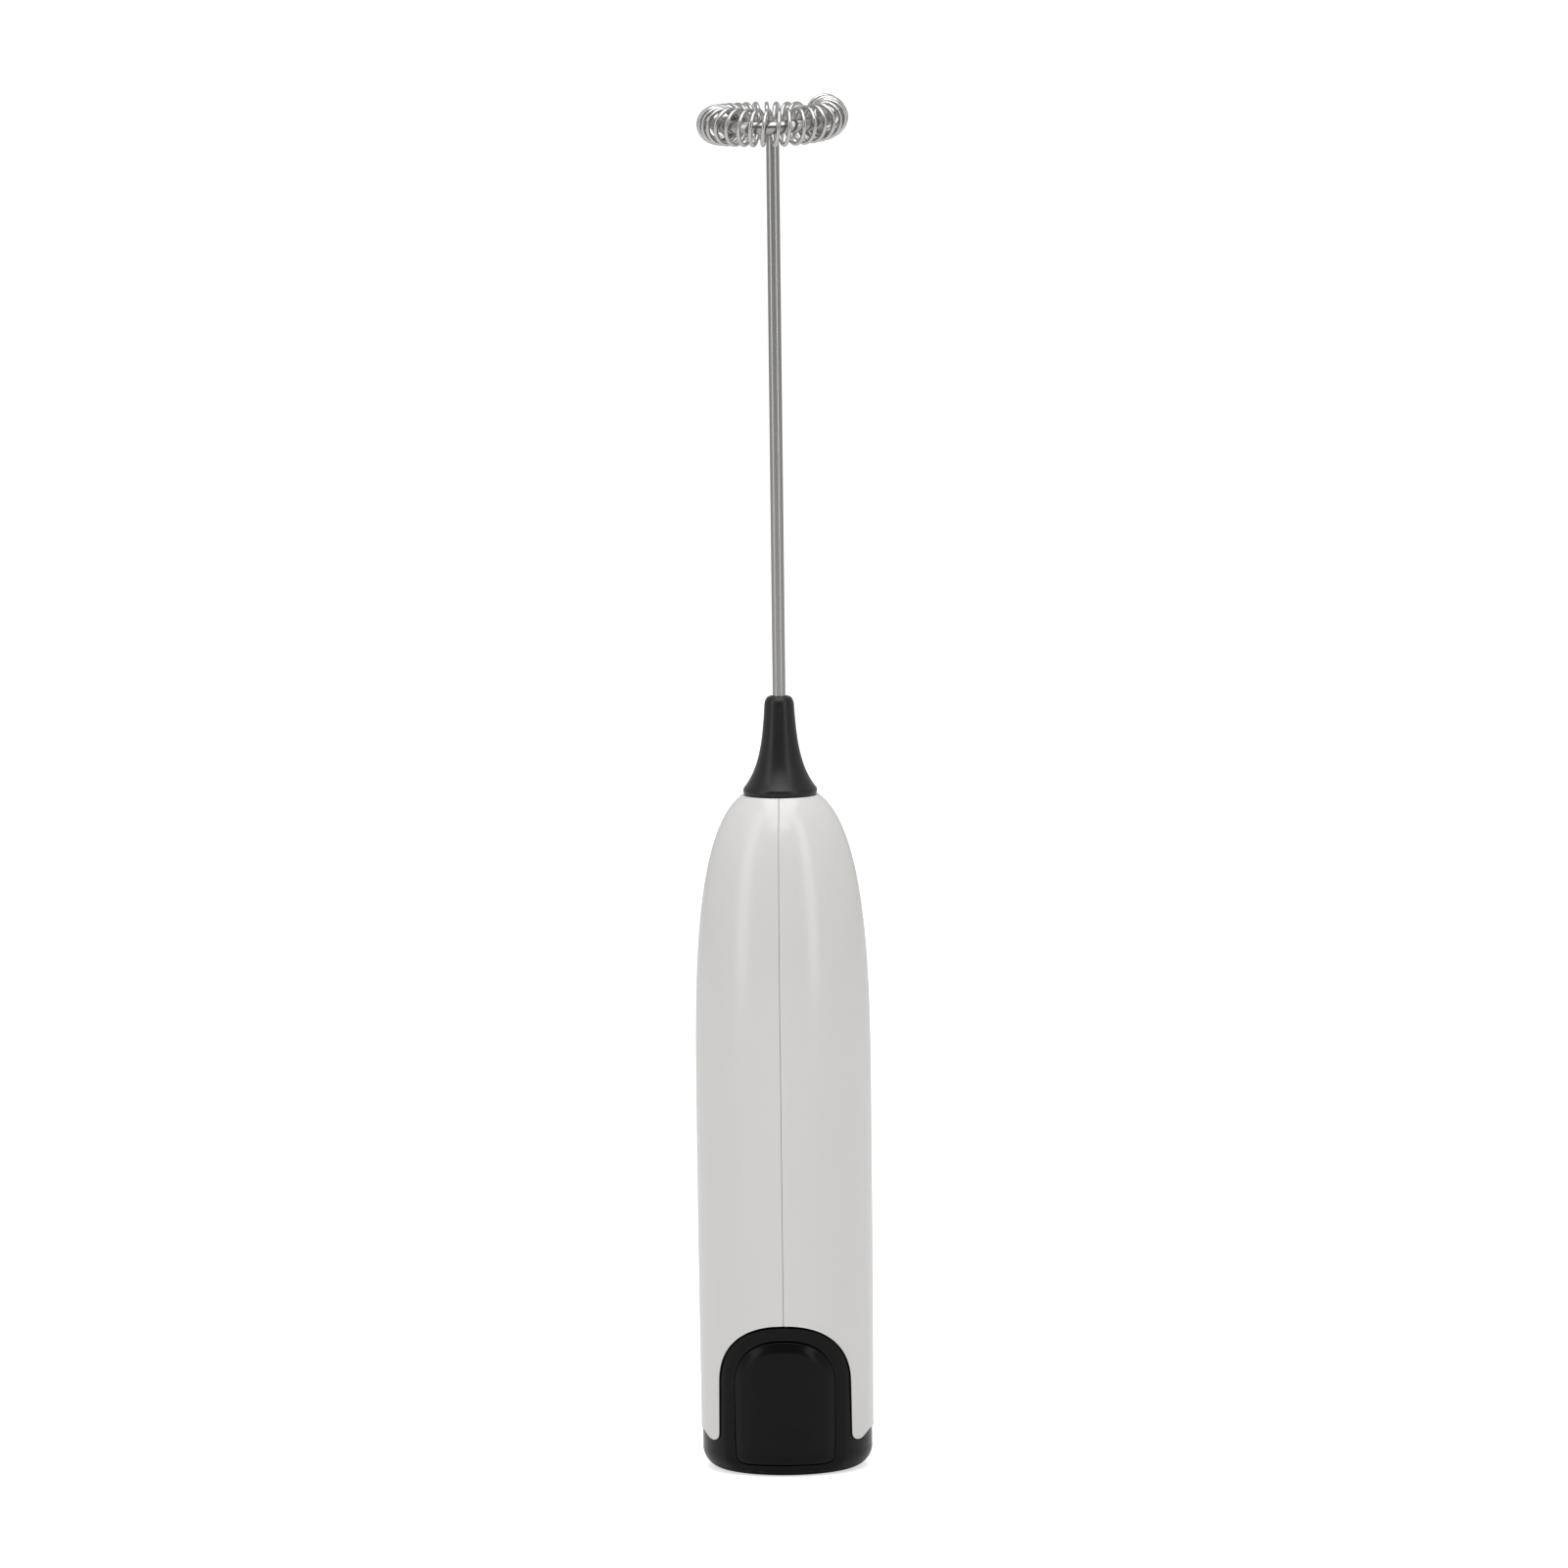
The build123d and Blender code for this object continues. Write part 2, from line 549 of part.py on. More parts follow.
def contact_carrier():
    """Plastic disc on a hollow pillar that holds the lower contacts."""
    disc = rod(0, 0, (6.4, 8.0), CAP_COLLAR[0] - 0.1)
    pillar = tube(0, 0, (FLOOR, 6.5), 3.2, 4.4)
    keys = block((-7.5, -6.5), (-2.5, 6.0), (FLOOR, 6.5)) + block((6.5, 7.5), (-2.5, 6.0), (FLOOR, 6.5))
    return disc + pillar + keys


def cap_contact_spring():
    """Coil spring under the right cell, on its plate."""
    plate = block((2.6, 8.2), (-3.0, 3.0), (8.0, 8.3))
    arm = block((2.6, 4.0), (-9.35, -2.9), (8.0, 8.3))
    return plate + arm + helix_spring(CELL_X, 0, (8.2, CELL_FOOT_Z), 2.7, 1.9, 3, 0.25)


def fixed_contact():
    """One stamped strip: a raised tab under the left cell's nub and an upright with a dimple."""
    base = block((-8.2, -2.6), (-3.0, 3.0), (8.0, 8.3))
    riser = block((-8.2, -7.9), (-1.6, 1.6), (8.0, CELL_FOOT_Z))
    tab = block((-8.2, -3.4), (-1.6, 1.6), (CELL_FOOT_Z - 0.3, CELL_FOOT_Z))
    arm = block((-4.0, 2.0), (-8.2, -2.9), (8.0, 8.3))
    upright = block((-2.0, 2.0), (-8.2, -7.95), (8.0, 17.8))
    dimple = Pos(0, -8.65, 16.5) * Rot(90, 0, 0) * Cylinder(0.9, 1.2)
    return base + riser + tab + arm + upright + dimple


def switch_leaf():
    """Springy strip between the button's nib and the fixed contact."""
    foot, bend, tip = (-9.2, 8.35), (-10.45, 16.6), (-10.0, 17.8)
    line = Polyline(foot, bend, tip)
    face = make_face(Plane.YZ * offset(line, 0.12, side=Side.BOTH))
    return extrude(face, 2.5, dir=(1, 0, 0), both=True)


PARTS = {
    "nose_cone": nose_cone,
    "nose_bush": nose_bush,
    "shaft_seal": shaft_seal,
    "battery_tray": battery_tray,
    "battery_right": lambda: cell(CELL_X, True),
    "battery_left": lambda: cell(-CELL_X, False),
    "battery_jacket_right": lambda: jacket(CELL_X, True),
    "battery_jacket_left": lambda: jacket(-CELL_X, False),
    "top_contact_plate": top_contact_plate,
    "top_contact_spring": top_contact_spring,
    "motor_can": motor_can,
    "motor_front_bearing": motor_front_bearing,
    "motor_end_bell": motor_end_bell,
    "motor_rear_bearing": motor_rear_bearing,
    "motor_magnets": motor_magnets,
    "motor_brushes": motor_brushes,
    "motor_terminals": motor_terminals,
    "positive_lead": lambda: motor_lead(1),
    "negative_lead": lambda: motor_lead(-1),
    "noise_capacitor": noise_capacitor,
    "motor_shaft": motor_shaft,
    "armature_core": armature_core,
    "armature_windings": armature_windings,
    "commutator": commutator,
    "drive_coupling": drive_coupling,
    "whisk_wire": whisk_wire,
    "whisk_coil": whisk_coil,
    "end_cap": end_cap,
    "power_button": power_button,
    "contact_carrier": contact_carrier,
    "cap_contact_spring": cap_contact_spring,
    "fixed_contact": fixed_contact,
    "switch_leaf": switch_leaf,
}

os.makedirs("parts", exist_ok=True)
left_shell, right_shell = shells()
export_step(left_shell, "parts/left_shell.step")
export_step(right_shell, "parts/right_shell.step")
for name, make in PARTS.items():
    export_step(make(), f"parts/{name}.step")
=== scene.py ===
"""Looks of the milk frother: outer mouldings, bent wire, a finish for every piece, studio and camera."""
import json
import logging
import math
import random
from dataclasses import dataclass, field
from enum import Enum
from typing import Callable, Sequence

import bmesh
import bpy
from mathutils import Matrix, Quaternion, Vector


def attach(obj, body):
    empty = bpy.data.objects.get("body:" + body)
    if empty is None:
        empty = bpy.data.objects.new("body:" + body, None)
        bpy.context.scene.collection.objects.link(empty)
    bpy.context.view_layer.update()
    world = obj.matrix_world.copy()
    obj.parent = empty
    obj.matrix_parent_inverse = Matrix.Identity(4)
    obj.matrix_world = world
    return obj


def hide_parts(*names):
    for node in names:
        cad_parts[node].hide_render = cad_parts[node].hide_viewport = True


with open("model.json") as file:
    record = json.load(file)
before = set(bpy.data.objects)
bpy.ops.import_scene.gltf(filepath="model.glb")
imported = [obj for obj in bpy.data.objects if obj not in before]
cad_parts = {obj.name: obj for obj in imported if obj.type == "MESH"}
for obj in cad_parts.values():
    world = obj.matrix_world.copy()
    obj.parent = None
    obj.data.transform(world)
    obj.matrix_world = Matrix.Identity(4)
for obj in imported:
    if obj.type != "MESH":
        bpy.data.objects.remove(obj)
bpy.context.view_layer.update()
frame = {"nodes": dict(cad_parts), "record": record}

LOG = logging.getLogger("frother")
MM = 0.001
SHARP = math.radians(38)  # an edge between faces that turn more than this is rounded
Place = Callable[[int, int], Vector]
Flat = tuple[float, float]
Colour = tuple[float, float, float]
EdgePoint = tuple[float, float, float]  # turn outside, height, turn inside


# ---------------------------------------------------------------- mesh tools


def smooth_step(low: float, high: float, value: float) -> float:
    """Ease from 0 at low to 1 at high."""
    share = min(max((value - low) / (high - low), 0.0), 1.0)
    return share * share * (3 - 2 * share)


def spread(low: float, high: float, count: int) -> list[float]:
    """Return count evenly spaced values from low to high."""
    return [low + (high - low) * k / (count - 1) for k in range(count)]


def evenly(line: Sequence[Sequence[float]], count: int) -> list[tuple[float, ...]]:
    """Walk along a line in equal steps.

    Args:
        line: Points of the line. Any further values of a point are carried along.
        count: Number of steps.

    Returns:
        The count + 1 points at the ends of the steps.
    """
    reach = [0.0]
    for before, after in zip(line, line[1:]):
        reach.append(reach[-1] + math.dist(before[:2], after[:2]))
    steps, at = [], 0
    for goal in spread(0, reach[-1], count + 1):
        while at < len(line) - 2 and reach[at + 1] < goal:
            at += 1
        share = (goal - reach[at]) / max(reach[at + 1] - reach[at], 1e-9)
        steps.append(tuple(a + (b - a) * share for a, b in zip(line[at], line[at + 1])))
    return steps


def pace_out(parts: Sequence[Sequence[Sequence[float]]], counts: Sequence[int]) -> list[tuple[float, ...]]:
    """Join the parts of a line, each walked in its own number of equal steps."""
    line: list[tuple[float, ...]] = []
    for part, count in zip(parts, counts):
        steps = evenly(part, count)
        line += steps[1:] if line else steps
    return line


def lay_grid(bm: bmesh.types.BMesh, columns: int, rows: int, place: Place) -> None:
    """Add a grid of cells and move each corner to its place.

    Args:
        bm: Mesh to add to.
        columns: Cells across.
        rows: Cells up.
        place: Gives a corner's place in millimetres from its column and row.
    """
    made = bmesh.ops.create_grid(bm, x_segments=columns, y_segments=rows, size=0.5)
    for vert in made["verts"]:
        column, row = round((vert.co.x + 0.5) * columns), round((vert.co.y + 0.5) * rows)
        vert.co = place(column, row) * MM


def close_up(bm: bmesh.types.BMesh) -> None:
    """Merge the meeting edges of the grids, fill the open ends and turn every face outwards."""
    bmesh.ops.remove_doubles(bm, verts=bm.verts, dist=0.0005 * MM)
    rims = [edge for edge in bm.edges if edge.is_boundary]
    if rims:
        bmesh.ops.holes_fill(bm, edges=rims, sides=0)
    bmesh.ops.recalc_face_normals(bm, faces=bm.faces)


def mirror_half(bm: bmesh.types.BMesh) -> None:
    """Add the left half of a mesh whose right half is there, and close it up."""
    bmesh.ops.mirror(bm, geom=bm.verts[:] + bm.edges[:] + bm.faces[:], matrix=Matrix.Identity(4),
                     merge_dist=0.001 * MM, axis="X")
    close_up(bm)


def round_edges(bm: bmesh.types.BMesh, width: float, segments: int, wanted: Callable[[Vector], bool]) -> None:
    """Round the sharp edges whose middle is wanted.

    Args:
        bm: Closed mesh.
        width: Width of the rounding in millimetres.
        segments: Faces across the rounding.
        wanted: Says from an edge's middle, in millimetres, if it is rounded.
    """
    sharp = [
        edge for edge in bm.edges
        if edge.is_manifold and edge.calc_face_angle() > SHARP
        and wanted((edge.verts[0].co + edge.verts[1].co) / 2 / MM)
    ]
    bmesh.ops.bevel(
        bm, geom=sharp, offset=width * MM, offset_type="OFFSET", segments=segments, profile=0.5,
        affect="EDGES", clamp_overlap=True, material=-1,
    )


def add_block(bm: bmesh.types.BMesh, x: Flat, y: Flat, z: Flat, soft: float = 0.15) -> None:
    """Add a box between the two x, the two y and the two z values, with softened edges."""
    made = bmesh.ops.create_cube(bm, size=1.0)
    size = Vector((x[1] - x[0], y[1] - y[0], z[1] - z[0])) * MM
    middle = Vector((x[0] + x[1], y[0] + y[1], z[0] + z[1])) / 2 * MM
    bmesh.ops.scale(bm, vec=size, verts=made["verts"])
    bmesh.ops.translate(bm, vec=middle, verts=made["verts"])
    edges = list({edge for vert in made["verts"] for edge in vert.link_edges})
    bmesh.ops.bevel(
        bm, geom=edges, offset=soft * MM, offset_type="OFFSET", segments=2, profile=0.5,
        affect="EDGES", material=-1,
    )


def turn_profile(bm: bmesh.types.BMesh, outline: Sequence[Flat], start: float = 0.0, sweep: float = 360.0,
                 steps: int = 96) -> None:
    """Spin a closed outline about the Z axis.

    Args:
        bm: Mesh to add to.
        outline: (radius, height) corners in millimetres, in order.
        start: Angle where the spin starts, in degrees from +X.
        sweep: Angle that it turns through.
        steps: Faces round the spin.
    """
    turn = Matrix.Rotation(math.radians(start), 3, "Z")
    verts = [bm.verts.new(turn @ Vector((radius, 0, height)) * MM) for radius, height in outline]
    edges = [bm.edges.new(pair) for pair in zip(verts, verts[1:] + verts[:1])]
    whole = abs(sweep) >= 360
    if not whole:
        bm.faces.new(verts)
    made = bmesh.ops.spin(
        bm, geom=verts + edges, cent=(0, 0, 0), axis=(0, 0, 1), angle=math.radians(sweep), steps=steps,
        use_merge=whole, use_duplicate=False,
    )
    if not whole:
        last = [item for item in made["geom_last"] if isinstance(item, bmesh.types.BMEdge)]
        bmesh.ops.edgeloop_fill(bm, edges=last)


def sweep_tube(bm: bmesh.types.BMesh, centres: Sequence[Vector], radius: float, sides: int) -> None:
    """Carry a round section along a line without twisting it.

    Args:
        bm: Mesh to add to.
        centres: Points of the line in millimetres.
        radius: Radius of the section.
        sides: Faces round the section.
    """
    across: list[tuple[Vector, Vector]] = []
    normal = Vector((0.31, 0.95, 0.05))
    for at, centre in enumerate(centres):
        ahead = (centres[min(at + 1, len(centres) - 1)] - centres[max(at - 1, 0)]).normalized()
        normal = (normal - ahead * normal.dot(ahead)).normalized()
        across.append((normal, ahead.cross(normal)))

    def place(column: int, row: int) -> Vector:
        """Put a corner on the section's circle."""
        lap = 2 * math.pi * column / sides
        return centres[row] + (across[row][0] * math.cos(lap) + across[row][1] * math.sin(lap)) * radius

    lay_grid(bm, sides, len(centres) - 1, place)


def make_piece(bm: bmesh.types.BMesh, name: str, crease: float = 35.0) -> bpy.types.Object:
    """Turn a finished bmesh into an object at the origin, smooth except at its creases."""
    mesh = bpy.data.meshes.new(name)
    bm.to_mesh(mesh)
    bm.free()
    mesh.shade_smooth()
    mesh.set_sharp_from_angle(angle=math.radians(crease))
    piece = bpy.data.objects.new(name, mesh)
    bpy.context.scene.collection.objects.link(piece)
    return piece


# ---------------------------------------------------------------- finishes


class Effect(Enum):
    """Surface effects that more than one finish uses, each a node group."""

    GRAIN = "surface_grain"
    DRIFT = "tint_drift"
    HANDLING = "handling_marks"
    STREAKS = "drawn_streaks"


class GroupMaker:
    """Builds the node group of each effect once."""

    SOCKETS = {
        Effect.GRAIN: ({"Size": 3000.0, "Roughness": 0.5}, {"Height": "NodeSocketFloat"}),
        Effect.DRIFT: ({"Size": 60.0, "Amount": 0.5}, {"Colour": "NodeSocketColor"}),
        Effect.HANDLING: ({"Size": 90.0, "Low": 0.2, "High": 0.3}, {"Roughness": "NodeSocketFloat"}),
        Effect.STREAKS: ({"Size": 900.0, "Low": 0.2, "High": 0.3},
                         {"Roughness": "NodeSocketFloat", "Height": "NodeSocketFloat"}),
    }

    def __init__(self) -> None:
        """Build every group."""
        self.groups = {effect: self._build(effect) for effect in Effect}

    def _build(self, effect: Effect) -> bpy.types.NodeTree:
        """Build one effect's group, with its sockets and nodes."""
        tree = bpy.data.node_groups.new(effect.value, "ShaderNodeTree")
        numbers, results = self.SOCKETS[effect]
        tree.interface.new_socket(name="Vector", in_out="INPUT", socket_type="NodeSocketVector")
        for name, value in numbers.items():
            socket = tree.interface.new_socket(name=name, in_out="INPUT", socket_type="NodeSocketFloat")
            socket.default_value = value
        if effect is Effect.DRIFT:
            for name in ("Colour", "Shifted"):
                tree.interface.new_socket(name=name, in_out="INPUT", socket_type="NodeSocketColor")
        for name, kind in results.items():
            tree.interface.new_socket(name=name, in_out="OUTPUT", socket_type=kind)
        given, result = tree.nodes.new("NodeGroupInput"), tree.nodes.new("NodeGroupOutput")
        noise = tree.nodes.new("ShaderNodeTexNoise")
        noise.inputs["Detail"].default_value = 4.0 if effect is Effect.HANDLING else 2.0
        tree.links.new(given.outputs["Vector"], noise.inputs["Vector"])
        tree.links.new(given.outputs["Size"], noise.inputs["Scale"])
        if effect is Effect.GRAIN:
            tree.links.new(given.outputs["Roughness"], noise.inputs["Roughness"])
            tree.links.new(noise.outputs["Fac"], result.inputs["Height"])
        elif effect is Effect.DRIFT:
            self._mix_colours(tree, given, noise, result)
        else:
            self._range_roughness(tree, given, noise, result)
            if effect is Effect.STREAKS:
                tree.links.new(noise.outputs["Fac"], result.inputs["Height"])
        return tree

    @staticmethod
    def _mix_colours(tree: bpy.types.NodeTree, given: bpy.types.Node, noise: bpy.types.Node,
                     result: bpy.types.Node) -> None:
        """Mix from a colour towards its shifted form where the noise is high."""
        share = tree.nodes.new("ShaderNodeMath")
        share.operation = "MULTIPLY"
        mix = tree.nodes.new("ShaderNodeMix")
        mix.data_type = "RGBA"
        tree.links.new(noise.outputs["Fac"], share.inputs[0])
        tree.links.new(given.outputs["Amount"], share.inputs[1])
        tree.links.new(share.outputs[0], mix.inputs[0])
        tree.links.new(given.outputs["Colour"], mix.inputs[6])
        tree.links.new(given.outputs["Shifted"], mix.inputs[7])
        tree.links.new(mix.outputs[2], result.inputs["Colour"])

    @staticmethod
    def _range_roughness(tree: bpy.types.NodeTree, given: bpy.types.Node, noise: bpy.types.Node,
                         result: bpy.types.Node) -> None:
        """Turn the noise into a roughness between the low and the high value."""
        between = tree.nodes.new("ShaderNodeMapRange")
        between.inputs["From Min"].default_value = 0.32
        between.inputs["From Max"].default_value = 0.68
        tree.links.new(noise.outputs["Fac"], between.inputs["Value"])
        tree.links.new(given.outputs["Low"], between.inputs["To Min"])
        tree.links.new(given.outputs["High"], between.inputs["To Max"])
        tree.links.new(between.outputs["Result"], result.inputs["Roughness"])


class Bench:
    """A material's node tree, with short ways to add its nodes."""

    def __init__(self, name: str, groups: GroupMaker) -> None:
        """Start a material that holds only its shader and Object coordinates."""
        self.material = bpy.data.materials.new(name)
        self.material.use_nodes = True
        self.tree = self.material.node_tree
        self.shader = self.tree.nodes["Principled BSDF"]
        self.groups = groups
        self.place = self.tree.nodes.new("ShaderNodeTexCoord").outputs["Object"]

    def stretched(self, scale: tuple[float, float, float]) -> bpy.types.NodeSocket:
        """Return the coordinates, scaled by scale."""
        mapping = self.tree.nodes.new("ShaderNodeMapping")
        mapping.inputs["Scale"].default_value = scale
        self.tree.links.new(self.place, mapping.inputs["Vector"])
        return mapping.outputs["Vector"]

    def effect(self, effect: Effect, place: bpy.types.NodeSocket | None = None,
               **values: object) -> bpy.types.Node:
        """Add an effect's group with its own values, and return its node."""
        node = self.tree.nodes.new("ShaderNodeGroup")
        node.node_tree = self.groups.groups[effect]
        self.tree.links.new(place or self.place, node.inputs["Vector"])
        for name, value in values.items():
            node.inputs[name].default_value = value
        return node

    def add(self, kind: str, place: bpy.types.NodeSocket | None = None, **values: object) -> bpy.types.Node:
        """Add a texture or other node, give it coordinates and set its inputs."""
        node = self.tree.nodes.new(kind)
        if place:
            self.tree.links.new(place, node.inputs["Vector"])
        for name, value in values.items():
            node.inputs[name].default_value = value
        return node

    def feed(self, source: bpy.types.NodeSocket, name: str) -> None:
        """Link a source to one of the shader's sockets."""
        self.tree.links.new(source, self.shader.inputs[name])

    def bump(self, height: bpy.types.NodeSocket, depth: float, strength: float = 1.0) -> None:
        """Raise the surface by depth millimetres where height is 1."""
        node = self.tree.nodes.new("ShaderNodeBump")
        node.inputs["Strength"].default_value = strength
        node.inputs["Distance"].default_value = depth * MM
        self.tree.links.new(height, node.inputs["Height"])
        self.feed(node.outputs["Normal"], "Normal")

    def blend(self, share: bpy.types.NodeSocket, low: Colour, high: Colour) -> bpy.types.NodeSocket:
        """Return a colour between low and high."""
        mix = self.tree.nodes.new("ShaderNodeMix")
        mix.data_type = "RGBA"
        self.tree.links.new(share, mix.inputs[0])
        mix.inputs[6].default_value = (*low, 1)
        mix.inputs[7].default_value = (*high, 1)
        return mix.outputs[2]


@dataclass(frozen=True)
class Finish:
    """What every finish has: a colour that drifts a little and a roughness that handling has varied."""

    name: str
    colour: Colour
    shifted: Colour
    roughness: Flat = (0.3, 0.4)
    metallic: float = 0.0
    drift_size: float = 70.0

    def build(self, groups: GroupMaker) -> bpy.types.Material:
        """Build the material.

        Args:
            groups: The shared effects.

        Returns:
            The finished material.
        """
        bench = Bench(self.name, groups)
        bench.shader.inputs["Metallic"].default_value = self.metallic
        self.tint(bench)
        self.surface(bench)
        return bench.material

    def tint(self, bench: Bench) -> None:
        """Colour the surface."""
        drift = bench.effect(Effect.DRIFT, Size=self.drift_size, Amount=0.9,
                             Colour=(*self.colour, 1), Shifted=(*self.shifted, 1))
        bench.feed(drift.outputs["Colour"], "Base Color")

    def surface(self, bench: Bench) -> None:
        """Give the surface its roughness and relief."""
        marks = bench.effect(Effect.HANDLING, Size=110.0, Low=self.roughness[0], High=self.roughness[1])
        bench.feed(marks.outputs["Roughness"], "Roughness")


@dataclass(frozen=True)
class Moulded(Finish):
    """Injection-moulded plastic or rubber: fine grain from the tool, and a coat where it is polished."""

    grain: Flat = (2500.0, 0.002)  # fineness per metre, depth in millimetres
    polish: float = 0.0
    mirror: float = 0.5  # strength of the surface's reflection

    def surface(self, bench: Bench) -> None:
        """Add the tool's grain under the handling marks."""
        super().surface(bench)
        grain = bench.effect(Effect.GRAIN, Size=self.grain[0], Roughness=0.55)
        bench.bump(grain.outputs["Height"], self.grain[1])
        bench.shader.inputs["IOR"].default_value = 1.5
        bench.shader.inputs["Coat Weight"].default_value = self.polish
        bench.shader.inputs["Coat Roughness"].default_value = 0.06
        bench.shader.inputs["Specular IOR Level"].default_value = self.mirror


@dataclass(frozen=True)
class Drawn(Finish):
    """Drawn, rolled or turned metal, with fine streaks along one way."""

    metallic: float = 1.0
    along: tuple[float, float, float] = (1.0, 1.0, 0.02)  # small along the streaks
    streak_depth: float = 0.002

    def surface(self, bench: Bench) -> None:
        """Lay the streaks along the metal."""
        streaks = bench.effect(Effect.STREAKS, bench.stretched(self.along), Size=2600.0,
                               Low=self.roughness[0], High=self.roughness[1])
        bench.feed(streaks.outputs["Roughness"], "Roughness")
        bench.bump(streaks.outputs["Height"], self.streak_depth)


@dataclass(frozen=True)
class Sintered(Finish):
    """Pressed powder metal or ferrite, with open pores."""

    metallic: float = 1.0
    pores: float = 1800.0
    # painted shade in the open pores
    pore_shade: Colour = (0.08, 0.06, 0.04)

    def tint(self, bench: Bench) -> None:
        """Darken the pores with painted shade."""
        cells = bench.add("ShaderNodeTexVoronoi", bench.place, Scale=self.pores)
        pores = bench.add("ShaderNodeMapRange")
        pores.inputs["From Min"].default_value, pores.inputs["From Max"].default_value = 0.08, 0.3
        bench.tree.links.new(cells.outputs["Distance"], pores.inputs["Value"])
        bench.feed(bench.blend(pores.outputs["Result"], self.pore_shade, self.colour), "Base Color")
        bench.bump(pores.outputs["Result"], 0.02)


@dataclass(frozen=True)
class Layered(Finish):
    """Fine repeated layers: stamped laminations, or wire wound side by side."""

    metallic: float = 1.0
    pitch: float = 0.5  # millimetres from one layer to the next
    across: str = "Z"
    # painted shade: colour of the grooves between the layers, where shade falls between wires and between
    # sheets
    groove_shade: Colour = (0.03, 0.03, 0.03)

    def tint(self, bench: Bench) -> None:
        """Colour the layers, with painted shade in the grooves between them."""
        wave = bench.add("ShaderNodeTexWave", bench.place,
                         Scale=math.tau / 20 / (self.pitch * MM), Distortion=0.4)
        wave.bands_direction = self.across
        bench.feed(bench.blend(wave.outputs["Fac"], self.groove_shade, self.colour), "Base Color")
        bench.bump(wave.outputs["Fac"], 0.12 * self.pitch)


@dataclass(frozen=True)
class Sleeve(Finish):
    """Cell sleeve in two plain bands of colour, with no words."""

    band: Colour = (0.7, 0.5, 0.2)
    band_z: float = 44.0

    def tint(self, bench: Bench) -> None:
        """Set the upper band against the lower colour."""
        split = bench.add("ShaderNodeSeparateXYZ", bench.place)
        edge = bench.add("ShaderNodeMapRange")
        edge.inputs["From Min"].default_value = self.band_z * MM
        edge.inputs["From Max"].default_value = (self.band_z + 0.15) * MM
        bench.tree.links.new(split.outputs["Z"], edge.inputs["Value"])
        printed = bench.blend(edge.outputs["Result"], self.colour, self.band)
        drift = bench.effect(Effect.DRIFT, Size=self.drift_size, Amount=0.35, Shifted=(*self.shifted, 1))
        bench.tree.links.new(printed, drift.inputs["Colour"])
        bench.feed(drift.outputs["Colour"], "Base Color")


